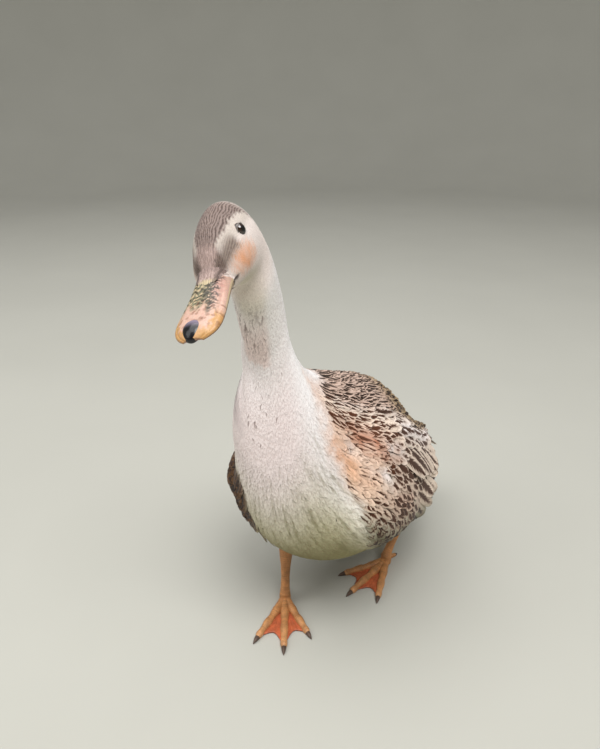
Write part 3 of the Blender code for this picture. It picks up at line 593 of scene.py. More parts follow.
    rusty = near(behind - 1.2, 1.2) * near(side - 60, 18)
    mark = layered(
        DARK,
        (BROWN, np.clip(rusty + 0.6 * wing, 0, 1) * (1 - head)),
        (NECK_MARK, smoothstep(8.6, 9.2, u) * (1 - head)),
        (CROWN_MARK, head),
    )
    inner = smoothstep(0.1, 0.9, behind)
    streak = back * (1 - rump) + 0.9 * wing * smoothstep(2.6, 1.4, behind) * smoothstep(0.0, 0.5, behind)
    speck = smoothstep(8.9, 9.5, u) * (1 - smoothstep(10.2, 10.5, u)) * smoothstep(110, 140, side)
    spot = (0.85 * wing * smoothstep(1.2, 2.2, behind) + 0.45 * flank) * inner * kept * (0.95 + 0.4 * fine)
    line = crown * (1 - 0.75 * forehead) + 0.3 * forehead + 0.6 * lores + 0.2 * below_eye + 0.7 * collar
    return {
        "ground": ground,
        "mark": mark,
        "streak": np.clip(1.05 * streak * kept + 0.85 * far_wing, 0, 1.2),
        "spot": np.clip(spot, 0, 1.3),
        "bar": np.clip(rump + flank * inner, 0, 1),
        "line": np.clip(line, 0, 1),
        "speck": speck,
        "marked": pattern,
    }


def grained(tree, tint, scale, detail, **limits):
    """A tint times fine noise that is mapped to the limits, and the noise itself."""
    place = add_node(tree, "ShaderNodeTexCoord").outputs["Object"]
    noise = add_node(tree, "ShaderNodeTexNoise", {"Vector": place, "Scale": scale, "Detail": detail})
    noise = noise.outputs["Fac"]
    limits = {name.replace("_", " "): value for name, value in limits.items()}
    shade = add_node(tree, "ShaderNodeMapRange", {"Value": noise, **limits}).outputs["Result"]
    tone = add_node(tree, "ShaderNodeVectorMath", {0: tint, 1: shade}, operation="MULTIPLY")
    return tone.outputs["Vector"], noise


# Skin is dull. It is seen only as the ground between feathers, so it takes the feathers' colours.
skin_material, tree, shader = new_material("feathered_skin", Roughness=0.85)
ground = add_node(tree, "ShaderNodeAttribute", attribute_name="ground").outputs["Color"]
dull, mottle = grained(tree, ground, 500.0, 4.0, To_Min=0.62, To_Max=0.95)
bump = add_node(tree, "ShaderNodeBump", {"Height": mottle, "Strength": 0.5, "Distance": 0.0006})
connect(tree, shader, Base_Color=dull, Normal=bump.outputs["Normal"])

u = np.linspace(0, at("bill_root"), SKIN_ROWS)[:, None]
v = np.linspace(-math.pi, math.pi, SKIN_ROUND + 1)[None, :-1]
place, out, _, _ = sample(body_table, u + 0 * v, v + 0 * u)
points = (place + out * skin_height(u, v)[..., None]).reshape(-1, 3)
looks = plumage(u, v)
marks = np.clip(looks["streak"] + looks["spot"] + looks["bar"], 0, 1)
tint = mixed(looks["ground"], looks["mark"], 0.3 * marks)
faces = grid_faces(SKIN_ROWS, SKIN_ROUND, wrap=True)
row_of, column_of = np.divmod(np.arange(SKIN_ROWS * SKIN_ROUND), SKIN_ROUND)
corner_column = column_of[faces].astype(float)
over_seam = np.ptp(column_of[faces], axis=1) > 1
corner_column[over_seam[:, None] & (corner_column == 0)] = SKIN_ROUND
corner_u = row_of[faces] / (SKIN_ROWS - 1) * at("bill_root")
skin_map = unwrapped(corner_u, (corner_column / SKIN_ROUND - 0.5) * 2 * math.pi)
tips = np.array([points.reshape(SKIN_ROWS, SKIN_ROUND, 3)[end].mean(0) for end in (0, -1)])
points = np.concatenate([points, tips])
ends = []
for end, tip in ((0, len(points) - 2), (SKIN_ROWS - 1, len(points) - 1)):
    ring = end * SKIN_ROUND + np.arange(0, SKIN_ROUND, 2)
    middle, after = ring + 1, end * SKIN_ROUND + (np.arange(0, SKIN_ROUND, 2) + 2) % SKIN_ROUND
    quad = np.stack([ring, np.full_like(ring, tip), after, middle], 1)
    ends.append(quad if end else quad[:, ::-1])
cap_map = np.full((SKIN_ROUND, 4, 2), 0.001) + np.array([[0, 0], [1, 0], [1, 1], [0, 1]]) * 0.0005
faces = np.concatenate([faces, *ends])
tint = np.concatenate([tint.reshape(-1, 3), tint[0].mean(0, keepdims=True), tint[-1].mean(0, keepdims=True)])
maps = {"OFBake": np.concatenate([skin_map, cap_map])}
skin = mesh_piece("body_skin", points, faces, skin_material, maps, {"ground": tint})
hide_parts("torso", "neck", "head", "wing_left", "wing_right", "tail")
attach(skin, "root")


# The coat: thin overlapping feathers rooted in the skin, which lie towards the tail. The face has the
# smallest, the breast has soft narrow ones with open tips, and the back has broad ones with a dark mark.
BAKE_PATCH = 0.003
# How far a mark strays across and down its feather, as shares.
MARK_STRAY = (0.12, 0.05)
# Each outline is the share of the length and of the half width at every station from the root to the tip.
FACE_OUTLINE = ((0, 0.5), (0.4, 1.0), (0.78, 0.8), (1, 0.15))
SOFT_OUTLINE = ((0, 0.4), (0.3, 0.85), (0.6, 1.0), (0.85, 0.75), (1, 0.12))
BROAD_OUTLINE = ((0, 0.35), (0.3, 0.8), (0.58, 1.0), (0.8, 0.92), (0.94, 0.6), (1, 0.14))
LONG_OUTLINE = (
    (0, 0.3), (0.12, 0.7), (0.3, 0.92), (0.5, 1.0), (0.7, 0.98), (0.85, 0.84), (0.95, 0.55), (1, 0.12),
)


def roots(table, first, last, gaps, around, seed, stray=0.3):
    """Rooting places in rows round a surface, from the last u down to the first, every second row set between
    the places of the one before. Pairs of u and gap give the distance between rows, and that within one."""
    random = np.random.default_rng(seed)
    found = []
    u, row = last, 0
    while u > first:
        ring = sample(table, np.full(73, u), np.linspace(-math.pi, math.pi, 73))
        girth = ring[3][:-1].mean() * 2 * math.pi
        step = np.interp(u, [g[0] for g in gaps], [g[1] for g in gaps]) * MM
        side_step = np.interp(u, [g[0] for g in around], [g[1] for g in around]) * MM
        number = max(int(girth / side_step), 5)
        v = (np.arange(number) + 0.5 * (row % 2)) / number * 2 * math.pi - math.pi
        far, aside = random.uniform(-stray, stray, (2, number))
        found.append(np.stack([u + far * step / ring[2].mean(), v + aside * 2 * math.pi / number], 1))
        u -= step / ring[2].mean()
        row += 1
    return np.concatenate(found)


def plumes(table, outline, columns, where, size, lie, height, seed):
    """Feathers over a surface. Along a feather every grid point stands off its root by the share of the
    length, across it by the share of the half width, both turned by the feather's own angle and bent by its
    curl, and scaled from metres to the surface's u and v at the root. Its height is the skin's there, plus
    the sink, plus the rise times the share to the 1.3, less the cup times the square of the place across."""
    random = np.random.default_rng(seed)
    count = len(where)
    share, wide = (np.array(column)[None, :, None] for column in zip(*outline))
    x = np.linspace(-1, 1, columns)[None, None, :]
    u, v = where[:, 0, None, None], where[:, 1, None, None]
    length, width = (np.broadcast_to(s, count)[:, None, None] * MM for s in size)
    turn, curl, sink, rise, cup = (np.broadcast_to(s, count)[:, None, None] for s in lie)
    fray = 1 + 0.07 * random.uniform(-1, 1, (count, len(outline), columns)) * share**4
    away = length * share * fray
    aside = width / 2 * wide * x + curl * length * share**2
    back = away * np.cos(turn) - aside * np.sin(turn)
    side = away * np.sin(turn) + aside * np.cos(turn)
    _, _, per_u, per_v = sample(table, where[:, 0], where[:, 1])
    to_u, to_v = u - back / per_u[:, None, None], v + side / np.maximum(per_v, 4 * MM)[:, None, None]
    lift = height(to_u, to_v) + (sink + rise * share**1.3 - cup * x**2 * wide) * MM
    place, out, _, _ = sample(table, to_u, to_v)
    points = place + out * lift[..., None]
    one = grid_faces(len(outline), columns)[:, ::-1]
    faces = (one[None] + (np.arange(count) * len(outline) * columns)[:, None, None]).reshape(-1, 4)
    own = np.stack(np.broadcast_arrays(x / 2, share - 0.5), -1) * BAKE_PATCH
    across, down = np.broadcast_to(x, away.shape), np.broadcast_to(share, away.shape)
    return {
        "points": points,
        "faces": faces,
        "own": own,
        "across": across,
        "down": down,
        "length": length * 1000,
        "u": to_u,
        "v": to_v,
    }


def coat_piece(name, plume, where, looks, marks, blend=0.6, uneven=0.035, unwrap=unwrapped):
    """One piece of the coat as a mesh, with its bake patches at its roots' places on the unwrap. The ground
    is the root's own colour blended with the colours over which the feather lies."""
    random = np.random.default_rng(len(where))
    shape = plume["points"].shape[:3]
    each = shape[1] * shape[2]
    bake = unwrap(where[:, 0], where[:, 1])[:, None, None, :] + plume["own"]
    bake = np.broadcast_to(bake, (*shape, 2)).reshape(-1, 2)[plume["faces"]]
    light = np.repeat(1 + uneven * random.uniform(-1, 1, (shape[0], 1)), each, 0)
    ground, mark = (np.repeat(looks[n], len(light) // len(looks[n]), 0) for n in ("ground", "mark"))
    if blend:
        under = plumage(plume["u"].reshape(-1), plume["v"].reshape(-1))["ground"]
        ground = ground * (1 - blend) + under * blend
    across, down = plume["across"], plume["down"]
    barb = plume["length"] * (down - 0.28 * np.abs(across))
    chance, aside, along = random.normal(0, 1, (3, shape[0], 1, 1))
    vane = np.stack(np.broadcast_arrays(across + MARK_STRAY[0] * aside, down + MARK_STRAY[1] * along, 0), -1)
    barbs = np.stack(np.broadcast_arrays(across * 0.7, barb, chance * 97), -1)
    weights = np.stack([np.broadcast_to(m, shape[0]) for m in marks], -1)
    values = {
        "ground": ground * light,
        "mark": mark * light,
        "vane": vane.reshape(-1, 3),
        "barbs": barbs.reshape(-1, 3),
        "marks": np.repeat(weights, each, 0),
    }
    made = mesh_piece(name, plume["points"], plume["faces"], feather, {"OFBake": bake}, values)
    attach(made, "root")


# Feather is dry keratin with a soft sheen at a low angle. Barbs run out from the shaft about 0.5 mm apart,
# and the dark marks keep to them, so a mark's edge is finely ragged, with a brown fringe.
BARB_GAP = 0.55
# Half width, half length and place down the vane of the streak and of the spot, as shares of the feather.
MARK_SHAPES = {"streak": (0.58, 0.72, 0.46), "spot": (0.85, 0.42, 0.72)}
BAR_AT, BAR_HALF, BAR_BEND = 0.82, 0.14, 0.5
BLOT, RAGGED = (0.8, 0.3, 0), (0.7, 0.12, 0)
FRINGE = colour("#8A624C")
feather, tree, shader = new_material(
    "feather_vane", Roughness=0.62, Sheen_Weight=0.08, Sheen_Roughness=0.5, Specular_IOR_Level=0.2
)
ground = add_node(tree, "ShaderNodeAttribute", attribute_name="ground").outputs["Color"]
mark = add_node(tree, "ShaderNodeAttribute", attribute_name="mark").outputs["Color"]
vane = add_node(tree, "ShaderNodeAttribute", attribute_name="vane").outputs["Vector"]
barbs = add_node(tree, "ShaderNodeAttribute", attribute_name="barbs").outputs["Vector"]
weights = add_node(tree, "ShaderNodeAttribute", attribute_name="marks").outputs["Vector"]
weights = add_node(tree, "ShaderNodeSeparateXYZ", {"Vector": weights})
blot = add_node(tree, "ShaderNodeTexNoise", {"Vector": barbs, "Scale": 0.33, "Detail": 1.0}).outputs["Color"]
ragged = add_node(tree, "ShaderNodeTexNoise", {"Vector": barbs, "Scale": 1.5, "Detail": 2.0}).outputs["Color"]
moved = vane
for noise, amount in ((blot, BLOT), (ragged, RAGGED)):
    sockets = {0: noise, 1: amount, 2: moved}
    moved = add_node(tree, "ShaderNodeVectorMath", sockets, operation="MULTIPLY_ADD").outputs[0]
mean_move = (np.array(BLOT) + RAGGED) / 2
inside = []
for weight, (half, long, middle) in zip(weights.outputs, MARK_SHAPES.values()):
    scale = np.array([1 / half, 1 / long, 0])
    sockets = {0: moved, 1: scale, 2: -(mean_move + (0, middle, 0)) * scale}
    placed = add_node(tree, "ShaderNodeVectorMath", sockets, operation="MULTIPLY_ADD").outputs[0]
    far = add_node(tree, "ShaderNodeVectorMath", {0: placed}, operation="LENGTH").outputs["Value"]
    inside.append(add_node(tree, "ShaderNodeMath", {0: weight, 1: far}, operation="SUBTRACT").outputs[0])
scale = np.array([BAR_BEND, 1, 0])
sockets = {0: moved, 1: scale, 2: -mean_move * scale}
placed = add_node(tree, "ShaderNodeVectorMath", sockets, operation="MULTIPLY_ADD").outputs[0]
far = add_node(tree, "ShaderNodeVectorMath", {0: placed}, operation="LENGTH").outputs["Value"]
far = add_node(tree, "ShaderNodeMath", {0: far, 1: BAR_AT}, operation="SUBTRACT").outputs[0]
far = add_node(tree, "ShaderNodeMath", {0: far}, operation="ABSOLUTE").outputs[0]
sockets = {0: far, 1: -1 / BAR_HALF, 2: weights.outputs[2]}
inside.append(add_node(tree, "ShaderNodeMath", sockets, operation="MULTIPLY_ADD").outputs[0])
for value in inside[1:]:
    inside[0] = add_node(tree, "ShaderNodeMath", {0: inside[0], 1: value}, operation="MAXIMUM").outputs[0]
sockets = {"Value": inside[0], "From Min": -0.3, "From Max": 0.15, "To Max": 0.6}
halo = add_node(tree, "ShaderNodeMapRange", sockets).outputs["Result"]
core = add_node(tree, "ShaderNodeMapRange", {"Value": inside[0], "From Min": -0.02, "From Max": 0.22})
sockets = {"Factor": halo, "A": ground, "B": (*FRINGE, 1)}
blend = add_node(tree, "ShaderNodeMix", sockets, data_type="RGBA").outputs["Result"]
sockets = {"Factor": core.outputs["Result"], "A": blend, "B": mark}
marked = add_node(tree, "ShaderNodeMix", sockets, data_type="RGBA").outputs["Result"]
grain = add_node(tree, "ShaderNodeSeparateXYZ", {"Vector": ragged}).outputs[2]
sockets = {"Value": grain, "From Min": 0.3, "From Max": 0.7, "To Min": 0.86, "To Max": 1.05}
shade = add_node(tree, "ShaderNodeMapRange", sockets).outputs[0]
# Painted shade: each feather darkens towards its root, where the feather before it lies over it.
down = add_node(tree, "ShaderNodeSeparateXYZ", {"Vector": vane}).outputs[1]
sockets = {"Value": down, "From Max": 0.8, "To Min": 0.9, "To Max": 1.0}
depth = add_node(tree, "ShaderNodeMapRange", sockets).outputs[0]
shade = add_node(tree, "ShaderNodeMath", {0: shade, 1: depth}, operation="MULTIPLY").outputs[0]
tone = add_node(tree, "ShaderNodeVectorMath", {0: marked, 1: shade}, operation="MULTIPLY")
barb = add_node(tree, "ShaderNodeSeparateXYZ", {"Vector": barbs}).outputs[1]
pace = 2 * math.pi / BARB_GAP
ripple = add_node(tree, "ShaderNodeMath", {0: barb, 1: pace}, operation="MULTIPLY").outputs[0]
ripple = add_node(tree, "ShaderNodeMath", {0: ripple}, operation="SINE").outputs[0]
bump = add_node(tree, "ShaderNodeBump", {"Height": ripple, "Strength": 0.2, "Distance": 0.0001})
connect(tree, shader, Base_Color=tone.outputs["Vector"], Normal=bump.outputs["Normal"])


def under_wing(where, margin):
    """True where a root lies inside the folded wing by more degrees than the margin."""
    upper, lower, _ = wing_edges(where[:, 0])
    round_from_back = np.abs(np.degrees(where[:, 1]))
    inside = (round_from_back > upper + margin) & (round_from_back < lower - margin)
    return inside & (where[:, 0] > 1.7) & (where[:, 0] < 6.6)


def spread(seed, count, amount):
    """Random numbers about 0, one for each feather, with the amount as their usual size."""
    return np.random.default_rng(seed).normal(0, amount, count)


def vary(seed, count, low, high):
    """Random numbers spread evenly from low to high, one for each feather."""
    return np.random.default_rng(seed).uniform(low, high, count)


def flow(u, v):
    """The angle by which a feather lies off the line to the tail: the wing droops, the breast parts."""
    side = np.abs(np.degrees(v))
    droop = 27 * smoothstep(6.9, 5.5, u) * smoothstep(44, 80, side) * (1 - 0.6 * smoothstep(98, 125, side))
    parting = -15 * smoothstep(7.6, 8.6, u) * near(side - 130, 42)
    return np.radians(droop + parting) * np.sign(v)


def looks_of(where, length, turn=0.0):
    """The plumage where each feather shows: four fifths of its length on from its root."""
    _, _, per_u, per_v = sample(body_table, where[:, 0], where[:, 1])
    reach = 0.8 * length * MM
    return plumage(where[:, 0] - reach * np.cos(turn) / per_u, where[:, 1] + reach * np.sin(turn) / per_v)


# Face and crown: tufts of 3 to 7 mm that lie flat, finest at the bill, in fine dark and pale lines on the
# crown. None grow over the eye or in the corner of the mouth.
LINE_GAP, EYE_CLEAR, MOUTH_CLEAR = 1.6, 5.3, 0.8
row_gaps = ((13.6, 1.9), (16, 1.45), (19, 1.1))
where = roots(body_table, 13.6, 18.96, row_gaps, ((13.6, 1.3), (16, 0.95), (19, 0.85)), 21)
eye_along, eye_across, eye_high = head_place(where[:, 0], where[:, 1])
from_eye = np.hypot((eye_along - EYE_PLACE[0]) / 0.9, eye_high - EYE_PLACE[2])
beside_eye = (from_eye > EYE_CLEAR) | (np.abs(eye_across) < 10)
beside_mouth = (np.abs(eye_high + 6.2) > MOUTH_CLEAR) | (eye_along < 24)
where = where[beside_eye & beside_mouth]
count = len(where)
grow = np.interp(where[:, 0], (13.6, 16, 18.9), (6.6, 4.8, 2.8)) * vary(22, count, 0.85, 1.2)
width = np.interp(where[:, 0], (13.6, 16, 18.9), (2.0, 1.45, 1.15))
rise = np.interp(where[:, 0], (13.6, 18.9), (0.8, 0.45))
lie = spread(23, count, 0.06), spread(24, count, 0.03), 0.1, rise, 0.06
plume = plumes(body_table, FACE_OUTLINE, 3, where, (grow, width), lie, skin_height, 25)
looks = plumage(plume["u"].reshape(-1), plume["v"].reshape(-1))
along, across, high = head_place(plume["u"].reshape(-1), plume["v"].reshape(-1))
arc = np.arctan2(across, high + 12) * 32
lines = np.sin(2 * math.pi * (arc / LINE_GAP + 0.5 * waves(arc / 16, along / 20, 7)))
lines += 0.5 * waves(arc / 3.2, along / 5, 6) + 0.3 * np.repeat(spread(26, count, 1), len(arc) // count)
looks["ground"] = mixed(looks["ground"], looks["mark"], 0.85 * smoothstep(-0.2, 0.7, lines) * looks["line"])
coat_piece("face_feathers", plume, where, looks, (0, 0, 0), 0.0)

# Neck: soft narrow feathers of 8 to 16 mm, smooth as fur, with faint grey lines down the front. They stand
# out more over the crop.
CROP_AT, CROP_RISE = (8.95, -116, 0.8, 70), 3.4
where = roots(body_table, 8.9, 13.75, ((9, 3.2), (13.7, 2.0)), ((9, 2.0), (13.7, 1.4)), 31)
count = len(where)
grow = np.interp(where[:, 0], (9, 13.7), (16, 8.5)) * vary(32, count, 0.92, 1.12)
looks = looks_of(where, grow)
rise = np.interp(where[:, 0], (9, 13.7), (1.1, 0.9))
sink = 0.2 + CROP_RISE * about(*where.T, *CROP_AT)
lie = spread(33, count, 0.045), spread(34, count, 0.02), sink, rise, 0.08
plume = plumes(body_table, SOFT_OUTLINE, 3, where, (grow, grow * 0.25), lie, skin_height, 35)
wander = waves(where[:, 1] * 2, where[:, 0] * 0.6, 8)
lines = np.sin(2 * math.pi * (np.degrees(where[:, 1]) / 8 + 0.8 * wander))
wisps = smoothstep(0.0, 0.8, lines + 0.35 * spread(36, count, 1)) * looks["line"]
wisps *= smoothstep(10.9, 11.6, where[:, 0]) * (0.75 + 0.6 * waves(where[:, 1] * 3, where[:, 0] * 0.8, 11))
each = plume["u"][0].size
at_points = plumage(plume["u"].reshape(-1), plume["v"].reshape(-1))["ground"]
looks["ground"] = mixed(at_points, np.repeat(looks["mark"], each, 0), np.repeat(0.9 * wisps, each))
specked = 0.75 * (vary(46, count, 0, 1) < 0.035 * looks["speck"])
looks["mark"] = mixed(looks["mark"], LILAC, 0.3 * (specked > 0))
coat_piece("neck_feathers", plume, where, looks, (0, specked, 0), 0.0, 0.02)

# Breast and belly: longer soft feathers with open tips, white in front and cream below.
row_gaps = ((0.3, 5.2), (5, 4.8), (9.1, 3.4))
where = roots(body_table, 0.3, 9.1, row_gaps, ((0.3, 3.4), (5, 2.7), (9.1, 2.1)), 41)
looks = plumage(where[:, 0] - 0.3, where[:, 1])
side = np.abs(np.degrees(where[:, 1]))
soft = looks["marked"] < np.interp(side, (60, 95), (0.6, 0.96))
soft &= ~under_wing(where, 5) | (looks["marked"] < 0.5)
where = where[soft]
looks = {name: value[soft] for name, value in looks.items()}
count = len(where)
grow = np.interp(where[:, 0], (0.3, 3, 7, 9), (22, 26, 23, 17)) * vary(42, count, 0.85, 1.2)
rise = np.interp(where[:, 0], (0.3, 7, 9), (2.4, 1.6, 1.1))
sink = 0.3 + CROP_RISE * about(*where.T, *CROP_AT)
lie = flow(*where.T) + spread(43, count, 0.05), spread(44, count, 0.03), sink, rise, 0.1
plume = plumes(body_table, SOFT_OUTLINE, 3, where, (grow, grow * 0.19), lie, skin_height, 45)
coat_piece("breast_feathers", plume, where, looks, (0, 0, 0), 0.7, 0.05)

# Back, shoulders and flanks: broad feathers, each with a dark centre, spot or bar.
row_gaps = ((0.1, 8), (4, 11.5), (7, 9.5), (7.8, 7), (8.6, 5.5))
where = roots(body_table, 0.1, 8.6, row_gaps, ((0.1, 5), (4, 4.1), (8.6, 3.4)), 51, 0.4)
looks = plumage(where[:, 0] - 0.3, where[:, 1])
side = np.abs(np.degrees(where[:, 1]))
broad = (looks["marked"] >= np.interp(side, (60, 95), (0.3, 0.8))) & ~under_wing(where, 7)
where = where[broad]
looks = {name: value[broad] for name, value in looks.items()}
count = len(where)
grow = np.interp(where[:, 0], (0.1, 1, 4, 7, 8.6), (21, 28, 33, 29, 16)) * vary(52, count, 0.88, 1.15)
side = np.abs(np.degrees(where[:, 1]))
loose = 13.0 * near((where[:, 0] - 3.4) / 1.5, 1) * near((side - 106) / 24, 1)
hump = near(where[:, 0] - 4.3, 1.5) * near(side, 48)
loose += 5.0 * hump
right_front = 3.0 * near((where[:, 0] - 7.2) / 0.8, 1) * near((side - 132) / 20, 1)
loose += np.where(where[:, 1] < 0, right_front, 0)
width = grow * np.interp(side, (30, 60, 110), (0.21, 0.26, 0.33))
rise = 1.6 + 2.0 * smoothstep(0.4, 1.0, looks["marked"]) + loose
lie = flow(*where.T) + spread(53, count, 0.09), spread(54, count, 0.05), 0.5 + 5.0 * hump, rise, 0.5
plume = plumes(body_table, BROAD_OUTLINE, 5, where, (grow, width), lie, skin_height, 55)
looks = looks_of(where, grow)
strength = vary(56, count, 0.7, 1.25)
marks = looks["streak"] * strength, looks["spot"] * strength, looks["bar"] * strength
coat_piece("back_feathers", plume, where, looks, marks, 0.6, 0.1)

# Wing coverts: rows of broad feathers over the folded wing, longer towards the rear. Below and behind them
# the tertials and secondaries droop over the flank, and the long shoulder feathers lie on top.
COVERT_ROWS = (
    # section number, length, width, gap to the next one in the row
    (7.05, 17, 6.5, 3.6),
    (6.8, 17, 6.5, 3.8),
    (6.55, 18, 7, 4.0),
    (6.3, 20, 7.5, 4.2),
    (6.05, 21, 8, 4.6),
    (5.8, 23, 8.5, 5.0),
    (5.5, 25, 9, 5.4),
    (5.2, 27, 10, 5.8),
    (4.85, 30, 11, 6.4),
    (4.45, 33, 12, 7.0),
    (4.0, 36, 13, 7.6),
    (3.55, 40, 14, 8.2),
)
FLIGHT_ROWS = (
    # section number, length, width, gap, first and last degrees, lift at the tip
    (4.2, 52, 17, 9, 76, 116, 9.0),
    (3.6, 54, 17, 9, 68, 114, 9.5),
    (3.05, 50, 17, 9, 46, 108, 7.5),
    (2.5, 44, 15, 9, 54, 88, 4.0),
    (1.95, 40, 13, 8, 56, 72, 1.0),
)
SHOULDER_ROWS = (
    # section number, length, width, first and last degrees, gap
    (5.9, 40, 12, 40, 50, 6),
    (5.1, 44, 13, 39, 50, 6),
    (4.3, 42, 14, 39, 50, 7),
)
# Tertials: section number and degrees of the root, length, width, droop in degrees.
TERTIALS = (
    (5.35, 62, 58, 15, 24),
    (5.0, 59, 62, 16, 27),
    (4.6, 57, 66, 17, 29),
    (4.2, 56, 66, 17, 31),
    (3.8, 56, 64, 17, 32),
    (3.4, 57, 58, 16, 33),
    (3.0, 60, 50, 15, 34),
)


def row_roots(u, first, last, gap):
    """Roots in one row down the side from the first to the last angle, a gap apart."""
    _, _, _, scale = sample(body_table, u, math.radians((first + last) / 2))
    count = max(int(math.radians(last - first) * scale / (gap * MM)), 2)
    return np.stack([np.full(count, u), np.radians(np.linspace(first, last, count))], 1)


for side, name in ((1, "left"), (-1, "right")):
    random = np.random.default_rng(60 + side)
    places, sizes = [], []
    for row, (u, length, width, gap) in enumerate(COVERT_ROWS):
        upper, lower, _ = wing_edges(u)
        found = row_roots(u, upper + 2 + 2.5 * (row % 2), lower - 1, gap)
        places.append(found)
        sizes.append(np.full((len(found), 2), (length, width)))
    where = np.concatenate(places) * (1, side)
    shown = plumage(where[:, 0] - 0.25, where[:, 1])["marked"] > 0.35
    where, size = where[shown], np.concatenate(sizes)[shown]
    count = len(where)
    where += random.uniform(-1, 1, (count, 2)) * (0.09, 0.022)
    size = size * random.uniform(0.86, 1.14, (count, 1))
    looks = plumage(where[:, 0] - 0.35, where[:, 1])
    lie = flow(*where.T) + spread(61 + side, count, 0.09), 0.04 * side, 0.6, 3.6, 0.6
    plume = plumes(body_table, BROAD_OUTLINE, 5, where, size.T, lie, skin_height, 62)
    strength = random.uniform(0.5, 1.35, count)
    marks = looks["streak"] * strength, looks["spot"] * strength, looks["bar"] * strength
    coat_piece("wing_coverts_" + name, plume, where, looks, marks, 0.6, 0.12)

    places, sizes, lifts = [], [], []
    for u, length, width, gap, first, last, lift in FLIGHT_ROWS:
        found = row_roots(u, first, last, gap)
        places.append(found)
        sizes.append(np.full((len(found), 2), (length, width)))
        low_down = smoothstep(50, 85, np.degrees(found[:, 1]))
        lifts.append(2.6 + lift * (0.25 + 0.75 * low_down))
    for u, length, width, first, last, gap in SHOULDER_ROWS:
        found = row_roots(u, first, last, gap)
        places.append(found)
        sizes.append(np.full((len(found), 2), (length, width)))
        lifts.append(np.full(len(found), 6.0))
    droops = np.concatenate([np.abs(flow(*found.T)) for found in places])
    number_plain = len(droops)
    tertials = np.array(TERTIALS)
    places.append(tertials[:, :2] * (1, math.pi / 180))
    sizes.append(tertials[:, 2:4])
    lifts.append(np.linspace(9.5, 8.0, len(tertials)))
    droops = np.concatenate([droops, np.radians(tertials[:, 4])]) * side
    where = np.concatenate(places) * (1, side)
    count = len(where)
    size = np.concatenate(sizes) * random.uniform(0.94, 1.06, (count, 1))
    looks = looks_of(where, size[:, 0], droops)
    lie = droops + spread(65 + side, count, 0.04), 0.05 * side, 0.9, np.concatenate(lifts), 0.9
    plume = plumes(body_table, LONG_OUTLINE, 7, where, size.T, lie, skin_height, 66)
    faint, strong = random.uniform(0.2, 1.0, count), random.uniform(0.6, 1.1, count)
    marks = np.where(np.arange(count) < number_plain, faint, strong), 0, 0
    coat_piece("flight_feathers_" + name, plume, where, looks, marks, 0.85, 0.14)


# Tail: ten stiff feathers in a low fan, with rows of coverts over and under their roots.
TAIL_ROOT, TAIL_DROOP = (-194, 121), math.radians(-41)
TAIL_ROWS = (
    # number, half spread of roots, fan, first and last distance behind, height at root and tip, fall, width
    (10, 12, 11, -3, 61, 0.5, 0.5, 5.4, 13),
    (7, 11, 9, -6, 44, 5.0, 2.6, 4.6, 12),
    (7, 9, 7, -12, 30, 6.0, 4.0, 4.6, 12),
    (7, 11, 9, -4, 42, -8.5, -6.0, 1.6, 12),
    (6, 9, 7, -12, 28, -11.5, -8.5, 1.6, 12),
)


def tail_shape(back, across, high):
    """A point of the tail, in millimetres behind, across and above its root, turned down by its droop."""
    back, across, high = np.broadcast_arrays(back, across, high)
    ca, sa = math.cos(TAIL_DROOP), math.sin(TAIL_DROOP)
    forward = TAIL_ROOT[0] - back * ca + high * sa
    return np.stack([across, -forward, TAIL_ROOT[1] + back * sa + high * ca], -1) * MM


random = np.random.default_rng(71)
share, wide = (np.array(column)[:, None] for column in zip(*LONG_OUTLINE))
x = np.linspace(-1, 1, 5)[None, :]
points, downs, acrosses, lengths, centres = [], [], [], [], []
for count, spread_half, fan, first, last, root_high, tip_high, fall, width in TAIL_ROWS:
    for at_side in np.linspace(-1, 1, count):
        turn = math.radians(fan) * at_side + 0.03 * random.uniform(-1, 1)
        length = (last - first) * (1 - 0.08 * at_side**2) * random.uniform(0.96, 1.03)
        aside = x * wide * width / 2
        behind = first + length * share * math.cos(turn) - aside * math.sin(turn)
        across = spread_half * at_side + length * share * math.sin(turn) + aside * math.cos(turn)
        under = -1 if root_high < 0 else 1
        high = root_high + (tip_high - root_high) * share - fall * abs(at_side) - 0.5 * under * x**2
        points.append(tail_shape(behind, across, high))
        downs.append(share + 0 * x)
        acrosses.append(x + 0 * share)
        lengths.append(length)
        centres.append((under, spread_half * at_side, first))
count = len(points)
one = grid_faces(len(LONG_OUTLINE), 5)
faces = []
for number, centre in enumerate(centres):
    faces.append((one[:, ::-1] if centre[0] > 0 else one) + number * len(LONG_OUTLINE) * 5)
centres = np.array(centres)
plume = {
    "points": np.array(points),
    "faces": np.concatenate(faces),
    "own": np.stack(np.broadcast_arrays(x[None] / 2, share[None] - 0.5), -1) * BAKE_PATCH,
    "across": np.array(acrosses),
    "down": np.array(downs),
    "length": np.array(lengths)[:, None, None],
}
where = np.stack([centres[:, 2] / -30 - 0.6 * (centres[:, 0] < 0), centres[:, 1] / 8], 1)
tail_ground = mixed(WHITE, FAWN, random.uniform(0.2, 0.9, count))
looks = {"ground": tail_ground, "mark": np.tile(DARK, (count, 1))}
marks = (centres[:, 0] > 0) * random.uniform(0.4, 1.1, count), 0, 0
coat_piece("tail_feathers", plume, where, looks, marks, 0.0)


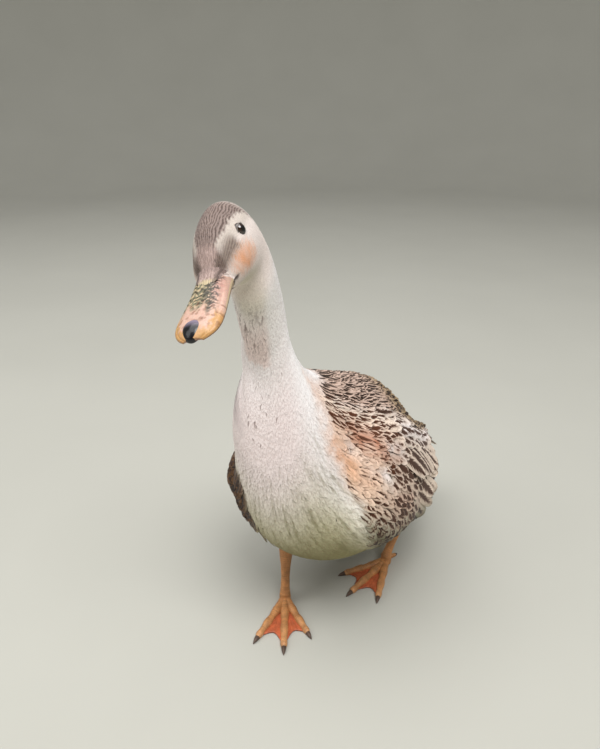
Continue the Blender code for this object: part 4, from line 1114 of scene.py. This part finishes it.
# Bill: a flat horn sheath over bone, flesh pink with dark blotches at its root and an orange rim, with a hard
# dark nail let into its tip. The two halves close on a thin line that runs back to the corner of the mouth.
UPPER_BILL = (
    # along, ridge, edge, half width
    (35.4, 8.0, -6.2, 13.5),
    (42, 5.4, -6.8, 13.9),
    (52, 2.2, -8.0, 15.2),
    (63, -0.8, -9.4, 16.6),
    (74, -3.2, -10.6, 17.6),
    (83, -5.2, -11.6, 16.8),
    (89.5, -7.4, -12.3, 12.9),
    (93, -9.6, -12.9, 7.4),
)
ROOT_SLANT = 8 / 23
LOWER_DEPTH, LOWER_INSET, LOWER_END, BITE_GAP, PALATE = 5.2, 1.7, 85.5, 0.45, 0.3
BILL_ROWS, BILL_COLUMNS = 170, 91
# How square the dome of the upper bill is across, and how far its lowest edge stands over the rim.
DOME_POWER, RIM_RISE = 2.3, 0.9
NOSTRIL = (44.0, 7.0, 3.6, 1.5)
NAIL_CENTRE, NAIL_SIZE, NAIL_TILT = (85.8, -1.5, -9.2), (8.8, 7.4, 4.6), math.radians(-22)
NAIL_GRID, EYE_GRID = (40, 64), (48, 64)
FLESH, PINK = colour("#CDA998"), colour("#C09286")
BILL_EDGE, BILL_CREAM = colour("#E2C99D"), colour("#CDBE94")
BILL_ORANGE, BILL_DARK, BILL_GREEN = colour("#C0925A"), colour("#2B221E"), colour("#6A6A55")
BILL_BROWN = colour("#7A4E36")
NAIL_DARK, NAIL_PALE = colour("#121116"), colour("#8C8092")


def bill_place(along, across, high):
    """A point of the bill: its root is slanted, and the slant fades with the square of the way to the tip."""
    first, last = UPPER_BILL[0][0], UPPER_BILL[-1][0]
    fade = np.clip((last - along) / (last - first), 0, 1) ** 2
    return head_point(along + ROOT_SLANT * fade * (high - UPPER_BILL[0][1]), across, high)


def closed_sheet(top, bottom):
    """The points and quads of two grids joined round their rims, the first facing out."""
    rows, columns = top.shape[:2]
    index = np.arange(rows * columns).reshape(rows, columns)
    one = grid_faces(rows, columns)
    rim = np.concatenate([index[0, :-1], index[:-1, -1], index[-1, :0:-1], index[:0:-1, 0]])
    after = np.roll(rim, -1)
    shift = rows * columns
    walls = np.stack([after, rim, rim + shift, after + shift], 1)
    points = np.concatenate([top.reshape(-1, 3), bottom.reshape(-1, 3)])
    return points, np.concatenate([one, one[:, ::-1] + shift, walls])


rows = spline(UPPER_BILL)(np.linspace(0, len(UPPER_BILL) - 1, BILL_ROWS))
along, ridge, edge_high, half = (rows[:, i, None] for i in range(4))
x = np.sin(np.linspace(-math.pi / 2, math.pi / 2, BILL_COLUMNS))[None, :]
dome = np.sqrt(np.clip(1 - np.abs(x) ** DOME_POWER, 0, 1))
across = half * x
rise = ridge - edge_high
crown = edge_high + RIM_RISE + (rise - RIM_RISE) * dome
lip = smoothstep(0.984, 0.997, np.abs(x))
crown -= 0.5 * near(np.abs(x) - 0.83, 0.09) * smoothstep(42, 56, along)
dent = near((along - NOSTRIL[0]) / NOSTRIL[2], 1) * near((np.abs(across) - NOSTRIL[1]) / NOSTRIL[3], 1)
crown -= 1.6 * dent
wander = waves(across / 8, along / 17, 12)
folds = np.abs(np.sin(along * math.pi / 4.1 + 1.5 * wander + 0.03 * across))
fade = smoothstep(62, 72, along + 4 * waves(across / 6, 0, 16) - 5 * smoothstep(0, 0.5, x))
zone = smoothstep(40, 45, along) * (1 - fade)
crown += (0.3 * np.minimum(folds * 2, 1) - 0.2) * zone * smoothstep(0.9, 0.6, np.abs(x))
top = bill_place(along, across, crown)
bottom = bill_place(along, across, edge_high + rise * PALATE * dome)
tilt = waves(along / 7, across / 5, 13)
blotch = waves(along / 4.6, across / 3.4, 14)
rim_in = smoothstep(0.58, 0.82, np.abs(x) + 0.1 * tilt)
lines = smoothstep(1.0, 0.62, folds + 0.35 * blotch - 0.15 * near(x - 0.35, 0.4)) * zone
lines = lines * smoothstep(0.85, 0.65, x) * smoothstep(-0.99, -0.9, x)
links = smoothstep(0.5, 0.2, np.abs(waves(across / 5.5, along / 9, 17))) * zone
links = links * smoothstep(-0.1, 0.4, blotch) * near(x - 0.22, 0.42)
net = 0.8 * np.clip(lines + links, 0, 1) * smoothstep(-0.4, 0.3, blotch + 0.8 * near(x - 0.35, 0.5))
root_dark = smoothstep(49, 40, along + 2.2 * blotch) * smoothstep(4.0, 7.0, np.abs(across))
root_dark = root_dark * smoothstep(0.97, 0.75, np.abs(x))
dash = near((along - 72.0 + 0.6 * (across + 3)) / 1.3, 1) * near((across + 3) / 2.2, 1)
oval = near((along - 79.5) / 2.0, 1) * near((across - 5.5) / 1.5, 1)
trail = near((along - 80 - 0.35 * (across - 1)) / 0.9, 1) * near((across - 1) / 5, 1)
freckle = smoothstep(0.6, 0.75, waves(along / 5.5, across / 4.4, 15))
freckle = freckle * smoothstep(58, 66, along) * smoothstep(88, 82, along)
bill_tint = layered(
    FLESH,
    (PINK, np.clip(near(along - 50, 14) * near(across - 8, 8) + 0.25 * tilt, 0, 1)),
    (BILL_CREAM * 0.85, 0.75 * zone * smoothstep(0.55, 0.1, x)),
    (BILL_CREAM, 0.7 * lip * (1 - smoothstep(60, 74, along))),
    (BILL_ORANGE, 0.95 * smoothstep(68, 78, along) * rim_in),
    (BILL_ORANGE, 0.9 * smoothstep(84, 90, along + 1.5 * tilt) * np.ones_like(x)),
    (BILL_GREEN, 0.9 * np.clip(lines * smoothstep(0.9, 0.2, x) + links, 0, 1)),
    (BILL_DARK, net),
    (BILL_DARK, 0.92 * root_dark * smoothstep(-0.4, 0.1, blotch)),
    # Painted shade: the nostril, a shallow dent, is painted dark for the shade inside its opening.
    (BILL_DARK, np.clip(1.4 * dent, 0, 1)),
    (BILL_BROWN, np.clip(0.9 * dash + 0.9 * oval + 0.7 * trail, 0, 0.9)),
    (BILL_BROWN, 0.5 * freckle),
)
bottom_tint = np.broadcast_to(PINK * 0.7, bottom.shape)

# Horn of a bill is smooth and waxy, a little see-through, with fine pores.
SUBSURFACE = {"Subsurface_Weight": 0.12, "Subsurface_Radius": (0.004, 0.0015, 0.001), "Subsurface_Scale": 0.5}
horn, tree, shader = new_material("bill_horn", Roughness=0.38, **SUBSURFACE)
tint = add_node(tree, "ShaderNodeAttribute", attribute_name="tint").outputs["Color"]
tone, pores = grained(tree, tint, 900.0, 4.0, From_Min=0.3, From_Max=0.7, To_Min=0.88, To_Max=1.08)
bump = add_node(tree, "ShaderNodeBump", {"Height": pores, "Strength": 0.25, "Distance": 0.0003})
connect(tree, shader, Base_Color=tone, Normal=bump.outputs["Normal"])

# Forehead feathers run a little way down the middle of the bill in a point.
wedge_along, wedge_across = np.meshgrid(np.arange(35.0, 50.5, 1.1), np.arange(-13.0, 13.1, 0.9))
random = np.random.default_rng(90)
wedge_along = wedge_along.ravel() + random.uniform(-0.4, 0.4, wedge_along.size)
wedge_across = wedge_across.ravel() + random.uniform(-0.35, 0.35, wedge_across.size)
kept = np.abs(wedge_across) < np.interp(wedge_along, (35, 38, 41, 47, 50), (13.0, 12.4, 9.8, 7.2, 0))
wedge_along, wedge_across = wedge_along[kept, None, None], wedge_across[kept, None, None]
count = len(wedge_along)
share, wide = (np.array(column)[None, :, None] for column in zip(*FACE_OUTLINE))
tuft_x = np.array([-1.0, 0.0, 1.0])[None, None, :]
tuft_long = 3.4 * random.uniform(0.85, 1.2, (count, 1, 1))
lean = 0.05 * wedge_across + random.normal(0, 0.1, (count, 1, 1))
tuft_along = wedge_along - tuft_long * share * np.cos(lean) + 0.6 * wide * tuft_x * np.sin(lean)
tuft_across = wedge_across + tuft_long * share * np.sin(lean) + 0.6 * wide * tuft_x * np.cos(lean)
row_ridge, row_edge, row_half = (np.interp(tuft_along, rows[:, 0], rows[:, i]) for i in (1, 2, 3))
tuft_dome = np.sqrt(np.clip(1 - np.abs(tuft_across / row_half) ** DOME_POWER, 0, 1))
tuft_high = row_edge + RIM_RISE + (row_ridge - row_edge - RIM_RISE) * tuft_dome
tuft_high += 0.05 + 0.4 * share**1.3 + 0.5 * smoothstep(36, 34, tuft_along) - 0.1 * tuft_x**2
one = grid_faces(len(FACE_OUTLINE), 3)[:, ::-1]
wedge = {
    "points": bill_place(tuft_along, tuft_across, tuft_high),
    "faces": (one[None] + (np.arange(count) * len(FACE_OUTLINE) * 3)[:, None, None]).reshape(-1, 4),
    "own": np.stack(np.broadcast_arrays(tuft_x / 2, share - 0.5), -1) * BAKE_PATCH,
    "across": np.broadcast_to(tuft_x, tuft_along.shape),
    "down": np.broadcast_to(share, tuft_along.shape),
    "length": tuft_long,
}
where = np.stack([np.full(count, 18.95), wedge_across[:, 0, 0] / 14], 1)
wedge_long, wedge_wide = wedge_along[:, 0, 0], wedge_across[:, 0, 0]
wedge_line = smoothstep(-0.1, 0.8, np.sin(wedge_wide * 2.6 + random.normal(0, 0.6, count)))
# Painted shade: the point is painted darker all over, and half as bright where it meets the head.
wedge_shade = np.interp(wedge_long, (35, 42), (0.5, 0.86))[:, None]
wedge_aside = np.abs(wedge_wide)
wedge_ground = layered(
    FOREHEAD * wedge_shade,
    (LORE_ROOT, 0.5 * wedge_line),
    (BILL_CREAM, 0.75 * smoothstep(45.5, 49, wedge_long)),
    (LORE_ROOT * 0.6, 0.95 * near(wedge_aside - np.interp(wedge_long, (36, 42), (9.0, 7.4)), 2.4)),
    (FACE, 0.8 * smoothstep(10.2, 11.4, wedge_aside)),
)
looks = {"ground": wedge_ground, "mark": wedge_ground}
coat_piece("forehead_point", wedge, where, looks, (0, 0, 0), 0.0, 0.12)

points, faces = closed_sheet(top, bottom)
tints = np.concatenate([bill_tint.reshape(-1, 3), bottom_tint.reshape(-1, 3)])
upper = mesh_piece("upper_bill", points, faces[:, ::-1], horn, values={"tint": tints})
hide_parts("bill_upper")

stretch = (LOWER_END - UPPER_BILL[0][0]) / (UPPER_BILL[-1][0] - UPPER_BILL[0][0])
low_along = UPPER_BILL[0][0] + (along - UPPER_BILL[0][0]) * stretch
done = (low_along - UPPER_BILL[0][0]) / (LOWER_END - UPPER_BILL[0][0])
low_rows = (np.interp(low_along[:, 0], rows[:, 0], rows[:, i])[:, None] for i in (1, 2, 3))
low_ridge, low_edge, low_wide = low_rows
low_half = (low_wide - LOWER_INSET) * np.sqrt(np.clip(1.03 - done**7, 0.05, 1))
inside = np.sqrt(np.clip(1 - np.abs(x * low_half / low_wide) ** DOME_POWER, 0, 1))
low_top = low_edge + (low_ridge - low_edge) * PALATE * inside - BITE_GAP
keel = np.sqrt(np.clip(1 - np.abs(x) ** 2.6, 0, 1))
low = np.minimum(low_edge - 1.2 - LOWER_DEPTH * (1 - 0.5 * done) * keel, low_top - 0.7)
low_across = low_half * x
points, faces = closed_sheet(*(bill_place(low_along, low_across, high) for high in (low_top, low)))
under = mixed(PINK, BILL_EDGE, smoothstep(0.6, 0.95, np.abs(x)) + 0 * low)
inner_tint = np.broadcast_to(PINK * 0.7, low.shape + (3,))
tints = np.concatenate([inner_tint.reshape(-1, 3), under.reshape(-1, 3)])
lower = mesh_piece("lower_bill", points, faces[:, ::-1], horn, values={"tint": tints})
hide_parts("bill_lower")


def head_axes():
    """The head's forward, left and up directions in the model."""
    here = head_point(0, 0, 0)
    axes = [head_point(*step) - here for step in ((10, 0, 0), (0, 10, 0), (0, 0, 10))]
    return np.array([a / np.linalg.norm(a) for a in axes])


def ball(radii, rows, around):
    """Grid points of an egg shape about the origin: its first axis is the pole's, and the rows run from pole
    to pole as cosines and sines. The end rows lie a thousandth of a radian off the poles, so a pinhole
    stays open at each."""
    lat = np.linspace(0.001, math.pi - 0.001, rows)[:, None]
    lon = (np.arange(around) * 2 * math.pi / around)[None, :]
    axes = [np.cos(lat) + 0 * lon, np.sin(lat) * np.cos(lon), np.sin(lat) * np.sin(lon)]
    return np.stack([axis * radius for axis, radius in zip(axes, radii)], -1)


# Nail: thick dark horn, polished by use, paler where it grows from the bill.
nail_horn, tree, shader = new_material("nail_horn", Roughness=0.22)
tint = add_node(tree, "ShaderNodeAttribute", attribute_name="tint").outputs["Color"]
connect(tree, shader, Base_Color=grained(tree, tint, 700.0, 3.0, To_Min=0.8, To_Max=1.15)[0])
axes = head_axes()
tilted = np.array(
    [
        axes[0] * math.cos(NAIL_TILT) + axes[2] * math.sin(NAIL_TILT),
        axes[1],
        axes[2] * math.cos(NAIL_TILT) - axes[0] * math.sin(NAIL_TILT),
    ]
)
shape = ball(NAIL_SIZE, *NAIL_GRID)
ahead = shape[..., 0] / NAIL_SIZE[0]
shape[..., 1] *= 1 + 0.16 * np.clip(-ahead, -0.6, 1)
nail_points = (shape * MM) @ tilted + head_point(*NAIL_CENTRE)
nail_tint = mixed(NAIL_DARK, NAIL_PALE, smoothstep(0.0, -0.8, ahead) * 0.95)
faces = grid_faces(*NAIL_GRID, wrap=True)[:, ::-1]
nail = mesh_piece("bill_tip", nail_points, faces, nail_horn, values={"tint": nail_tint.reshape(-1, 3)})
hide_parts("bill_nail")
for piece in (upper, lower, nail):
    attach(piece, "root")


# Eyes: a dark wet ball behind a round opening, with a rim of bare grey lid and a fold round it.
# The far eye is set deeper, so that it stays inside the head's outline as the camera sees it.
EYE_RADIUS, EYE_DEPTH, EYE_NARROW, FAR_EYE_SINK = 5.3, 5.1, 0.88, 3.0
EYE_LOOK = (0.18, 0.97, 0.09)
LID_RADIUS, LID_OUT, LID_ROUND, LID_SMALL = 5.0, 2.2, 72, 14
IRIS, PUPIL, LID = colour("#2E1C12"), colour("#060505"), colour("#8E8681")

eye_wet, tree, shader = new_material("wet_eye", Roughness=0.04, Coat_Weight=1.0, Coat_Roughness=0.02)
ring = add_node(tree, "ShaderNodeAttribute", attribute_name="ring").outputs["Fac"]
place = add_node(tree, "ShaderNodeTexCoord").outputs["Object"]
fibre = add_node(tree, "ShaderNodeTexNoise", {"Vector": place, "Scale": 1500.0, "Detail": 2.0}).outputs["Fac"]
wobble = add_node(tree, "ShaderNodeMath", {0: fibre, 1: 0.25, 2: ring}, operation="MULTIPLY_ADD").outputs[0]
edge = add_node(tree, "ShaderNodeMapRange", {"Value": wobble, "From Min": 2.5, "From Max": 3.0})
tones = {"Factor": edge.outputs["Result"], "A": (*PUPIL, 1), "B": (*IRIS, 1)}
blend = add_node(tree, "ShaderNodeMix", tones, data_type="RGBA")
connect(tree, shader, Base_Color=blend.outputs["Result"])

# Lid skin is thin, bare and finely creased.
lid_skin, tree, shader = new_material("lid_skin", Roughness=0.5)
place = add_node(tree, "ShaderNodeTexCoord").outputs["Object"]
sockets = {"Vector": place, "Scale": 1400.0, "Detail": 3.0}
crease = add_node(tree, "ShaderNodeTexNoise", sockets).outputs["Fac"]
tones = {"Factor": crease, "A": (*(LID * 0.6), 1), "B": (*(LID * 1.25), 1)}
blend = add_node(tree, "ShaderNodeMix", tones, data_type="RGBA")
bump = add_node(tree, "ShaderNodeBump", {"Height": crease, "Strength": 0.4, "Distance": 0.0003})
connect(tree, shader, Base_Color=blend.outputs["Result"], Normal=bump.outputs["Normal"])

for side, name in ((1, "left"), (-1, "right")):
    middle = head_point(EYE_PLACE[0], side * EYE_PLACE[1] + FAR_EYE_SINK * (side < 0), EYE_PLACE[2])
    axes = head_axes() * np.array([1, side, 1])[:, None]
    look = np.array(EYE_LOOK) @ axes
    look /= np.linalg.norm(look)
    back = np.cross(look, axes[2])
    back /= np.linalg.norm(back)
    eye_axes = np.array([look, back, np.cross(look, back)])
    shape = ball((EYE_DEPTH, EYE_RADIUS * EYE_NARROW, EYE_RADIUS), *EYE_GRID)
    ring = np.hypot(shape[..., 1], shape[..., 2]) + 20 * (shape[..., 0] < 0)
    points, faces = (shape * MM) @ eye_axes + middle, grid_faces(*EYE_GRID, wrap=True)[:, ::-1]
    eye = mesh_piece("eyeball_" + name, points, faces, eye_wet, values={"ring": ring.reshape(-1)})
    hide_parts("eye_" + name)
    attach(eye, "root")
    turn = (np.arange(LID_ROUND) * 2 * math.pi / LID_ROUND)[:, None]
    small = (np.arange(LID_SMALL) * 2 * math.pi / LID_SMALL)[None, :]
    rim = 0.4 + 0.08 * np.cos(turn * 2) ** 2
    reach = LID_RADIUS * (1 + 0.05 * np.cos(2 * turn)) + rim * np.cos(small)
    out = LID_OUT + rim * 0.9 * np.sin(small) - 0.35 * np.cos(2 * turn)
    lid = np.stack([out, EYE_NARROW * reach * np.cos(turn), reach * np.sin(turn)], -1)
    lid = (lid * MM) @ eye_axes + middle
    start = np.arange(LID_SMALL)
    after, last = (start + 1) % LID_SMALL, (LID_ROUND - 1) * LID_SMALL
    join = np.stack([last + start, last + after, after, start], 1)
    faces = np.concatenate([grid_faces(LID_ROUND, LID_SMALL, wrap=True), join])
    lid_piece = mesh_piece("eyelid_" + name, lid, faces, lid_skin)
    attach(lid_piece, "root")


# Legs: bare skin over bone and tendon, with broad plates down the front and small ones round the sides.
LEGS = {
    "right": {"ankle": (-28, 64), "hock": (-36, 50, 64), "hip": (-43, -4, 112), "heading": 34},
    "left": {"ankle": (38, -58), "hock": (43, -84, 55), "hip": (41, -86, 112), "heading": -8},
}
ANKLE_HEIGHT = 13
SHANK_SHAPE = (
    (-0.05, 6.3), (0, 5.9), (0.12, 5.2), (0.35, 4.8), (0.6, 5.6), (0.8, 7.0), (1, 8.0), (1.1, 8.0),
)
THIGH_SHAPE = ((0, 9.5), (0.18, 13), (0.45, 19), (0.75, 23), (1.0, 25))
TOES = {"inner": (-27, 56), "middle": (0, 70), "outer": (27, 63)}
TOE_RADIUS, HIND_TOE, CLAW_LENGTH = 4.3, 19, 8.5
SHANK_GRID, TOE_GRID, WEB_GRID = (90, 32), (64, 24), (28, 36)
TOE_BUMPS = (
    # share of the length, radius, height of the middle, both as shares of the toe's radius
    (-0.02, 1.2, 1.5),
    (0.22, 1.05, 0.98),
    (0.34, 1.15, 0.8),
    (0.5, 0.88, 0.68),
    (0.64, 1.05, 0.7),
    (0.8, 0.8, 0.6),
    (0.92, 0.88, 0.6),
    (1.0, 0.55, 0.42),
)
PLATE_GAP, WEB_SCALLOP, WEB_THICK = 2.6, 0.2, 1.3
THIGH_COAT, THIGH_ROWS, THIGH_ROUND = 2.2, 60, 91
LEG_ORANGE, LEG_PALE = colour("#C68A55"), colour("#DBA878")
WEB_RED, CLAW_HORN = colour("#C2643D"), colour("#5A4538")


def from_side(point):
    """A point or row of points given as across, forward, up in millimetres."""
    point = np.asarray(point, float)
    return np.stack([point[..., 0], -point[..., 1], point[..., 2]], -1) * MM


def floor_path(places, heights):
    """A path from rows of across and forward and a height for each, in millimetres."""
    return from_side(np.concatenate([places, heights[:, None]], 1))


def skin_tube(path, radii, around, plates=0.0, front=None):
    """Closed rings square to a path, with a point at each end. The radius grows by the plates' height times a
    saw tooth along the path, on the side that faces the front direction."""
    path, radii = np.asarray(path, float), np.asarray(radii, float)
    along = np.gradient(path, axis=0)
    along /= np.linalg.norm(along, axis=1, keepdims=True)
    aside = np.cross(along, np.asarray(front if front is not None else (0.0, 0.0, 1.0)))
    aside /= np.linalg.norm(aside, axis=1, keepdims=True)
    toward = np.cross(aside, along)
    turn = np.arange(around) * 2 * math.pi / around
    far = np.concatenate([[0], np.cumsum(np.linalg.norm(np.diff(path, axis=0), axis=1))]) / MM
    saw = (far / PLATE_GAP) % 1
    facing = smoothstep(0.1, 0.7, np.cos(turn))[None, :]
    reach = radii[:, None] + plates * MM * (saw[:, None] - 0.5) * facing
    round_way = np.cos(turn)[None, :, None] * toward[:, None] + np.sin(turn)[None, :, None] * aside[:, None]
    rings = path[:, None] + reach[..., None] * round_way
    first, last = (np.repeat(end, around, 1) for end in (path[:1, None], path[-1:, None]))
    rings = np.concatenate([first, rings, last])
    groove = np.concatenate([[0], saw, [0]])[:, None] * np.ones(around) * facing
    return rings, grid_faces(len(rings), around, wrap=True), groove


def skin_part(tint, scaly, *tube):
    """A tube as points, quads, tint and groove; a part that isn't scaly has no grooves."""
    rings, quads, groove = skin_tube(*tube)
    return rings, quads, tint, groove * scaly


def join_parts(parts):
    """Joins (points, quads, tint, groove) parts into one set of arrays."""
    points, faces, tints, grooves, start = [], [], [], [], 0
    for place, quads, tint, groove in parts:
        place = place.reshape(-1, 3)
        points.append(place)
        faces.append(quads + start)
        tints.append(np.broadcast_to(np.asarray(tint).reshape(-1, 3), place.shape))
        grooves.append(np.broadcast_to(np.asarray(groove, float).reshape(-1), len(place)))
        start += len(place)
    return np.concatenate(points), np.concatenate(faces), np.concatenate(tints), np.concatenate(grooves)


# Leg skin is dry and scaly: plates about 2.6 mm long in front, and round scales under a millimetre elsewhere.
SUBSURFACE = {"Subsurface_Weight": 0.08, "Subsurface_Radius": (0.003, 0.001, 0.0006), "Subsurface_Scale": 0.5}
leg_skin, tree, shader = new_material("leg_skin", Roughness=0.5, **SUBSURFACE)
tint = add_node(tree, "ShaderNodeAttribute", attribute_name="tint").outputs["Color"]
groove = add_node(tree, "ShaderNodeAttribute", attribute_name="groove").outputs["Fac"]
place = add_node(tree, "ShaderNodeTexCoord").outputs["Object"]
scales = add_node(tree, "ShaderNodeTexVoronoi", {"Vector": place, "Scale": 950.0}, feature="DISTANCE_TO_EDGE")
mottle = add_node(tree, "ShaderNodeTexNoise", {"Vector": place, "Scale": 160.0, "Detail": 4.0})
shades = []
for value, low, high, first, last in (
    (scales.outputs["Distance"], 0.0, 0.12, 0.72, 1.0),
    (mottle.outputs["Fac"], 0.3, 0.7, 0.7, 1.18),
    (groove, 0.75, 1.0, 1.0, 0.5),
):
    sockets = {"Value": value, "From Min": low, "From Max": high, "To Min": first, "To Max": last}
    shades.append(add_node(tree, "ShaderNodeMapRange", sockets).outputs["Result"])
shade = shades[0]
for value in shades[1:]:
    shade = add_node(tree, "ShaderNodeMath", {0: shade, 1: value}, operation="MULTIPLY").outputs[0]
tone = add_node(tree, "ShaderNodeVectorMath", {0: tint, 1: shade}, operation="MULTIPLY")
bump = add_node(tree, "ShaderNodeBump", {"Height": shades[0], "Strength": 0.5, "Distance": 0.0002})
connect(tree, shader, Base_Color=tone.outputs["Vector"], Normal=bump.outputs["Normal"])


def bare(u, v):
    """The height of a thigh's skin over its own table, which is the skin itself: none."""
    return 0 * u


def thigh_map(u, v):
    """The unwrap of a thigh: the angle round as a share, and the length as a share."""
    return np.stack([v / (2 * math.pi) + 0.5, u], -1)


for side, spec in LEGS.items():
    mirror = 1 if side == "left" else -1
    ankle = np.array(spec["ankle"], float)
    heading = math.radians(spec["heading"])
    ahead = np.array([math.sin(heading), math.cos(heading)])
    front = np.array([ahead[0], -ahead[1], 0])

    share = np.linspace(-0.05, 1.1, SHANK_GRID[0])
    low, high = np.array([*ankle, ANKLE_HEIGHT + 0.3]), np.array(spec["hock"], float)
    radius = np.interp(share, *zip(*SHANK_SHAPE)) * MM
    path = from_side(low + (high - low) * share[:, None])
    rings, quads, groove = skin_tube(path, radius, SHANK_GRID[1], 0.5, front)
    values = {"tint": np.broadcast_to(LEG_ORANGE, rings.shape).reshape(-1, 3), "groove": groove.reshape(-1)}
    shank = mesh_piece("shank_skin_" + side, rings, quads, leg_skin, values=values)
    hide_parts("shank_" + side)
    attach(shank, "root")

    parts, tips = [], []
    bumps = np.array(TOE_BUMPS)
    for angle, length in TOES.values():
        turn = heading + mirror * math.radians(angle)
        way = np.array([math.sin(turn), math.cos(turn)])
        share = np.linspace(0, len(bumps) - 1, TOE_GRID[0])
        done, radius, height = spline(bumps)(share).T
        path = floor_path(ankle + way * (length * done)[:, None], TOE_RADIUS * height)
        rings, quads, groove = skin_tube(path, TOE_RADIUS * radius * MM, TOE_GRID[1], 0.45)
        pale = 0.35 * smoothstep(0.3, 1.0, np.linspace(0, 1, len(rings)))
        parts.append((rings, quads, mixed(LEG_ORANGE, LEG_PALE, pale)[:, None] + 0 * rings, groove))
        share = np.linspace(0, 1, 20)
        reach = length - 3 + (CLAW_LENGTH + 3) * share
        arch = 1.7 + 0.9 * np.sin(share * 2.6) - 1.5 * share**2
        path = floor_path(ankle + way * reach[:, None], arch)
        parts.append(skin_part(CLAW_HORN, 0, path, (2.5 * (1 - share**2.2) + 0.25) * MM, 16))
        tips.append(way * length * 0.97)
    share = np.linspace(0, 1, 30)
    path = floor_path(ankle - ahead * (HIND_TOE * share)[:, None], 9 - 6.7 * share)
    parts.append(skin_part(LEG_ORANGE, 1, path, (3.6 - 1.3 * share) * MM, 20, 0.35))
    path = floor_path(ankle - ahead * (HIND_TOE - 2 + 8 * share)[:, None], 2.6 - 2.0 * share)
    parts.append(skin_part(CLAW_HORN, 0, path, (2.1 * (1 - share**2) + 0.25) * MM, 14))
    heights = np.linspace(3, ANKLE_HEIGHT + 1.0, 24)
    path = floor_path(np.repeat(ankle[None], len(heights), 0), heights)
    radius = np.interp(heights, (3, 8, 13), (6.3, 6.5, 5.8)) * MM
    parts.append(skin_part(LEG_ORANGE, 1, path, radius, 28, 0.4, front))
    for first, second, height in ((0, 1, 3.2), (1, 2, 3.35)):
        out = np.linspace(0.06, 1, WEB_GRID[0])[:, None, None]
        over = np.linspace(-0.03, 1.03, WEB_GRID[1])[None, :, None]
        edge_line = 1 - WEB_SCALLOP * np.sin(math.pi * over)
        spot = ankle + out * edge_line * (tips[first] * (1 - over) + tips[second] * over)
        folds = 0.22 * np.sin(over * 34 + 2 * out) * smoothstep(0.2, 0.8, out)
        level = (height - 0.8 * out + 0 * over + folds)[..., 0]
        top = np.stack([spot[..., 0], -spot[..., 1], level], -1) * MM
        sheet_points, quads = closed_sheet(top, top - np.array([0, 0, WEB_THICK * MM]))
        parts.append((sheet_points, quads, WEB_RED, np.zeros(len(sheet_points))))
    points, faces, tints, grooves = join_parts(parts)
    points[:, 2] = np.maximum(points[:, 2], 0.0)
    foot = mesh_piece("foot_skin_" + side, points, faces, leg_skin, values={"tint": tints, "groove": grooves})
    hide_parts("foot_" + side)
    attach(foot, "root")

    # Drumstick: the upper leg under short cream feathers, which run down to the hock.
    low, high = np.array(spec["hock"], float) + (0, 0, 0.3), np.array(spec["hip"], float) + (0, 0, 0.3)
    way = from_side(high) - from_side(low)
    way /= np.linalg.norm(way)
    cross = np.cross(way, (0.0, 1.0, 0.0))
    cross /= np.linalg.norm(cross)
    other = np.cross(way, cross)

    def thigh_shape(u, v):
        """A cone about the line from hock to hip, its radius from the table less the coat's depth."""
        radius = (np.interp(u, *zip(*THIGH_SHAPE)) - THIGH_COAT)[..., None] * MM
        out = np.cos(v)[..., None] * cross + np.sin(v)[..., None] * other + 0 * radius
        return from_side(low + (high - low) * u[..., None]) + radius * out, out

    thigh_table = surface_table(thigh_shape, 0.0, 1.0, THIGH_ROWS, THIGH_ROUND)
    core = thigh_table["all"][:, :-1, :3]
    middles = (end.mean(1, keepdims=True) for end in (core[:1], core[-1:]))
    hock_end, hip_end = (np.repeat(middle, core.shape[1], 1) for middle in middles)
    core = np.concatenate([hock_end, core, hip_end])
    tints = np.broadcast_to(CREAM * 0.85, core.shape).reshape(-1, 3)
    faces = grid_faces(*core.shape[:2], wrap=True)
    stump = mesh_piece("thigh_skin_" + side, core, faces, skin_material, values={"ground": tints})
    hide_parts("thigh_" + side)
    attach(stump, "root")
    where = roots(thigh_table, 0.06, 0.8, ((0, 3.2), (1, 4.2)), ((0, 2.2), (1, 3.4)), 80 + mirror)
    count = len(where)
    grow = np.interp(where[:, 0], (0, 1), (8, 15)) * vary(82, count, 0.85, 1.15)
    lie = spread(83, count, 0.12), spread(84, count, 0.06), 0.2, 2.1, 0.2
    plume = plumes(thigh_table, SOFT_OUTLINE, 3, where, (grow, grow * 0.26), lie, bare, 85)
    looks = {"ground": np.tile(CREAM, (count, 1)), "mark": np.tile(DARK, (count, 1))}
    name = "thigh_feathers_" + side
    coat_piece(name, plume, where, looks, (0, 0, 0), 0.0, unwrap=thigh_map)
